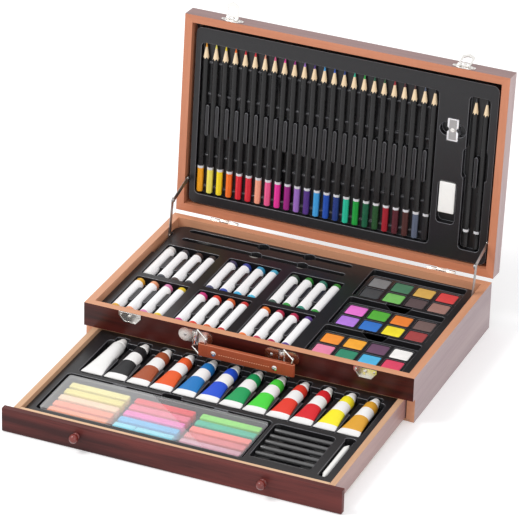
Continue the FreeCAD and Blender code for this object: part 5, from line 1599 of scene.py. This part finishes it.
# Carrying handle
@dataclass
class Handle:
    """Stitched leather strap with domed rivets."""

    finishes: Finishes
    bars: tuple[float, float] = (-44.35, 55.25)
    bar_height: float = 41.25
    bar_lean: float = 15.0
    slot_size: tuple[float, float] = (8.5, 2.4)
    folds: tuple[float, float] = (-39.2, 47.4)
    fold_depth: float = 0.22
    fold_reach: float = 0.4
    rounding: tuple[tuple[float, float], ...] = ((0.0, 0.5), (0.3, 0.16), (0.8, 0.0))
    rivet_drop: float = 1.0
    rivet_radius: float = 3.0
    dome: Outline = field(default_factory=lambda: [
        (-0.05, 3.0), (0.25, 3.0), (0.45, 2.7), (0.7, 2.1), (0.95, 1.3), (1.08, 0.5), (1.1, 0.05)])
    washer: Outline = field(default_factory=lambda: [(-0.05, 3.0), (0.4, 3.0), (0.55, 2.6)])
    stitch: Outline = field(default_factory=lambda: [(0.0, 0.1), (0.25, 0.4), (1.5, 0.4), (1.75, 0.1)])
    stitch_pitch: float = 2.7
    stitch_margin: float = 6.0
    stitch_lift: float = 0.02

    def build(self) -> None:
        """Build the strap and its rivets."""
        seat = Extent.of("handle_strap")
        studs = Extent.of("handle_rivets")
        rivets = (studs.low.x + self.rivet_radius, studs.high.x - self.rivet_radius)
        level = seat.middle.z - self.rivet_drop
        strap = Sculpt()
        self.shell(strap, seat)
        self.stitches(strap, (rivets[0], seat.low.y, level), rivets[1])
        strap.finish("leather_strap", "strap",
                     self.finishes.several("strap_leather", "thread", "leather_edge"),
                     ["handle_strap"], "leather", 40.0)
        metal = Sculpt()
        for x in rivets:
            front = Along.Y.place((x, seat.low.y, level)) @ Matrix.Rotation(math.pi, 4, "X")
            metal.turned(front, self.dome)
            metal.turned(Along.Y.place((x, seat.high.y, level)), self.washer)
        metal.finish("rivet_set", "strap", self.finishes.several("nickel"), ["handle_rivets"],
                     "nickel", 40.0)

    def shell(self, strap: Sculpt, seat: Extent) -> None:
        """Leather body with a crease beside each loop and pale cut edges.

        Args:
            strap: mesh that it is added to.
            seat: room of the strap.
        """
        half = (seat.high.y - seat.low.y) / 2
        height = seat.high.z - seat.low.z
        outer = self.rim(seat.low.x, seat.high.x, half)
        levels = [*self.rounding, (height / 2, 0.0),
                  *((height - z, inset) for z, inset in reversed(self.rounding))]
        place = Along.Z.place((0.0, seat.middle.y, seat.low.z))
        rings = []
        for z, inset in levels:
            ring = []
            for x, y in outer:
                flank = abs(y) < half * 0.99
                across = x - math.copysign(inset, x - seat.middle.x) if flank else x
                sunk = inset + (0.0 if flank else self.crease(x))
                ring.append((across, y * (1 - sunk / half), z))
            rings.append(ring)
        leather, cut = 0, 2
        strap.loft(place, rings, [cut] + [leather] * 4 + [cut], closed=(False, False))
        width, gap = self.slot_size
        lean = (seat.middle.z - self.bar_height) * math.tan(math.radians(self.bar_lean))
        holes = [[(bar + lean + u, v) for u, v in rounded(width, gap, gap / 2, 6)] for bar in self.bars]
        self.end_face(strap, place, rings[0], holes, 0.0)
        self.end_face(strap, place, rings[-1], holes, height)
        for ring in holes:
            strap.loft(place, [[(x, y, z) for x, y in reversed(ring)] for z in (0.0, height)], leather,
                       closed=(False, False))

    def crease(self, x: float) -> float:
        """Depth of the fold lines beside the loops, in millimetres."""
        return max(self.fold_depth * math.exp(-((x - at) / self.fold_reach) ** 2) for at in self.folds)

    def rim(self, left: float, right: float, half: float) -> Outline:
        """Plan outline of the strap with round ends.

        Args:
            left, right: where it ends.
            half: half of its thickness.

        Returns:
            The outline's points.
        """
        stops = {left + half + (right - left - 2 * half) * k / 24 for k in range(1, 24)}
        for at in self.folds:
            stops |= {at + step for step in (-0.9, -0.6, -0.35, -0.15, 0.0, 0.15, 0.35, 0.6, 0.9)}
        row = sorted(stops)

        def end(middle: float, start: float) -> Outline:
            """Half circle round the middle of an end."""
            turns = [start + math.pi * k / 12 for k in range(13)]
            return [(middle + half * math.cos(turn), half * math.sin(turn)) for turn in turns]

        return (end(right - half, -math.pi / 2) + [(x, half) for x in reversed(row)]
                + end(left + half, math.pi / 2) + [(x, -half) for x in row])

    def end_face(self, strap: Sculpt, place: Matrix, rim: Sequence[Point], holes: list[Outline],
                 z: float) -> None:
        """Cut edge of the leather with its two slots.

        Args:
            strap: mesh that it is added to.
            place: frame of the strap.
            rim: outer ring of the face.
            holes: slot outlines.
            z: height of the face; the one above zero looks up.
        """
        up = z > 0
        work = bmesh.new()
        loops = [[(x, y) for x, y, _ in rim]] + holes
        for loop in loops:
            verts = [work.verts.new((x, y, z)) for x, y in loop]
            for k in range(len(verts)):
                work.edges.new((verts[k - 1], verts[k]))
        bmesh.ops.triangle_fill(work, use_beauty=True, use_dissolve=False, edges=work.edges[:],
                                normal=(0, 0, 1 if up else -1))
        matrix = strap.frame @ place
        start = len(strap.points)
        work.verts.index_update()
        strap.points += [matrix @ v.co for v in work.verts]
        for face in work.faces:
            order = [start + v.index for v in face.verts]
            if (face.normal.z > 0) != up:
                order.reverse()
            strap.add(tuple(order), 0, WHITE)
        work.free()

    def stitches(self, strap: Sculpt, start: Point, end: float) -> None:
        """Row of short stitches from rivet to rivet.

        Args:
            strap: mesh that it is added to.
            start: middle of the first rivet on the leather.
            end: x of the last rivet.
        """
        thread = 1
        x, y, z = start
        x += self.stitch_margin
        while x < end - self.stitch_margin:
            strap.turned(Along.X.place((x, y - self.stitch_lift, z)), self.stitch, thread, count=10)
            x += self.stitch_pitch


# Stage
@dataclass(frozen=True)
class Lamp:
    """Square soft lamp; places and sizes in metres, power in watts."""

    name: str
    place: Point
    aim: Point
    size: float
    power: float

    def hang(self) -> None:
        """Put the lamp in the scene."""
        data = bpy.data.lights.new(self.name, "AREA")
        data.shape = "SQUARE"
        data.size = self.size
        data.energy = self.power
        lamp = bpy.data.objects.new(self.name, data)
        lamp.location = self.place
        lamp.rotation_mode = "QUATERNION"
        lamp.rotation_quaternion = (Vector(self.aim) - Vector(self.place)).to_track_quat("-Z", "Y")
        bpy.context.scene.collection.objects.link(lamp)


@dataclass
class Studio:
    """Floor, soft light and the camera at the photograph's angle, in metres."""

    position: Point = (1.28455, -3.18861, 1.91562)
    right: Point = (0.91828, 0.39510, 0.02561)
    up: Point = (-0.20588, 0.42125, 0.88327)
    back: Point = (0.33819, -0.81636, 0.46817)
    lens: float = 250.0
    film: float = 36.0
    nearest: float = 0.1
    farthest: float = 60.0
    floor_reach: float = 14.0
    floor_drop: float = 0.0002
    floor_cells: int = 8
    floor_dull: Colour = (0.86, 0.86, 0.87)
    floor_pale: Colour = (0.88, 0.88, 0.885)
    floor_rough: float = 0.9
    floor_shine: float = 0.1
    floor_glow: float = 0.3
    world_light: float = 0.82
    world_shown: float = 1.15
    lamps: tuple[Lamp, ...] = (
        Lamp("key_lamp", (-1.6, -1.2, 2.6), (0.0, 0.0, 0.05), 1.0, 40.0),
        Lamp("fill_lamp", (2.4, -2.6, 1.6), (0.0, 0.0, 0.1), 1.8, 12.0))

    def camera(self) -> None:
        """Set up the camera."""
        data = bpy.data.cameras.new("camera")
        data.lens = self.lens
        data.sensor_fit = "AUTO"
        data.sensor_width = self.film
        data.clip_start, data.clip_end = self.nearest, self.farthest
        camera = bpy.data.objects.new("camera", data)
        bpy.context.scene.collection.objects.link(camera)
        rows = zip(self.right, self.up, self.back, self.position)
        camera.matrix_world = Matrix((*rows, (0, 0, 0, 1)))
        bpy.context.scene.camera = camera

    def background_rays(self, g: Graph) -> Socket:
        """Mask of the rays that show the background: seen, mirrored or through glass.

        Args:
            g: graph of the floor's or the world's nodes.

        Returns:
            The socket of the mask.
        """
        path = g.add("ShaderNodeLightPath")
        seen = g.maths("MAXIMUM", path.outputs["Is Camera Ray"], path.outputs["Is Glossy Ray"])
        return g.maths("MAXIMUM", seen, path.outputs["Is Transmission Ray"])

    def floor(self) -> None:
        """Lay a pale floor that keeps the shadow and shows as white."""
        mesh = bpy.data.meshes.new("floor")
        work = bmesh.new()
        bmesh.ops.create_grid(work, x_segments=self.floor_cells, y_segments=self.floor_cells,
                              size=self.floor_reach)
        work.to_mesh(mesh)
        work.free()
        floor = bpy.data.objects.new("floor", mesh)
        floor.location = (0.0, 0.0, -self.floor_drop)
        bpy.context.scene.collection.objects.link(floor)
        material, g, surface = open_material("floor_pale")
        speck = g.span(g.noise(g.coords(Grain.NONE), scale=6.0), 0.3, 0.7, 0.0, 1.0)
        g.link(g.mix(speck, self.floor_dull, self.floor_pale), surface.inputs["Base Color"])
        surface.inputs["Roughness"].default_value = self.floor_rough
        surface.inputs["Specular IOR Level"].default_value = self.floor_shine
        glow = g.maths("MULTIPLY", self.background_rays(g), self.floor_glow)
        g.link(glow, surface.inputs["Emission Strength"])
        surface.inputs["Emission Color"].default_value = (*WHITE, 1.0)
        mesh.materials.append(material)

    def lights(self) -> None:
        """Set even white surroundings and the soft lamps."""
        world = bpy.data.worlds.new("studio")
        bpy.context.scene.world = world
        world.use_nodes = True
        g = Graph(world.node_tree)
        sky = world.node_tree.nodes["Background"]
        strength = g.span(self.background_rays(g), 0.0, 1.0, self.world_light, self.world_shown)
        g.link(strength, sky.inputs["Strength"])
        sky.inputs["Color"].default_value = (*WHITE, 1.0)
        for lamp in self.lamps:
            lamp.hang()

    def build(self) -> None:
        """Set the whole stage."""
        self.camera()
        self.floor()
        self.lights()
        bpy.context.scene.view_settings.view_transform = "Standard"


def main() -> None:
    """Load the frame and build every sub-assembly."""
    logging.basicConfig(level=logging.INFO, format="%(name)s: %(message)s")
    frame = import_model()
    Studio().build()
    finishes = Finishes()
    Carried(finishes, frame["nodes"]).build()
    lid = lid_frame(frame["joints"])
    for part in (Pencils(finishes, lid), Stationery(finishes, lid), Crayons(finishes), Paints(finishes),
                 Brush(finishes), PaintTubes(finishes), DrySticks(finishes), Knobs(finishes),
                 Handle(finishes)):
        part.build()


if __name__ == "__main__":
    main()
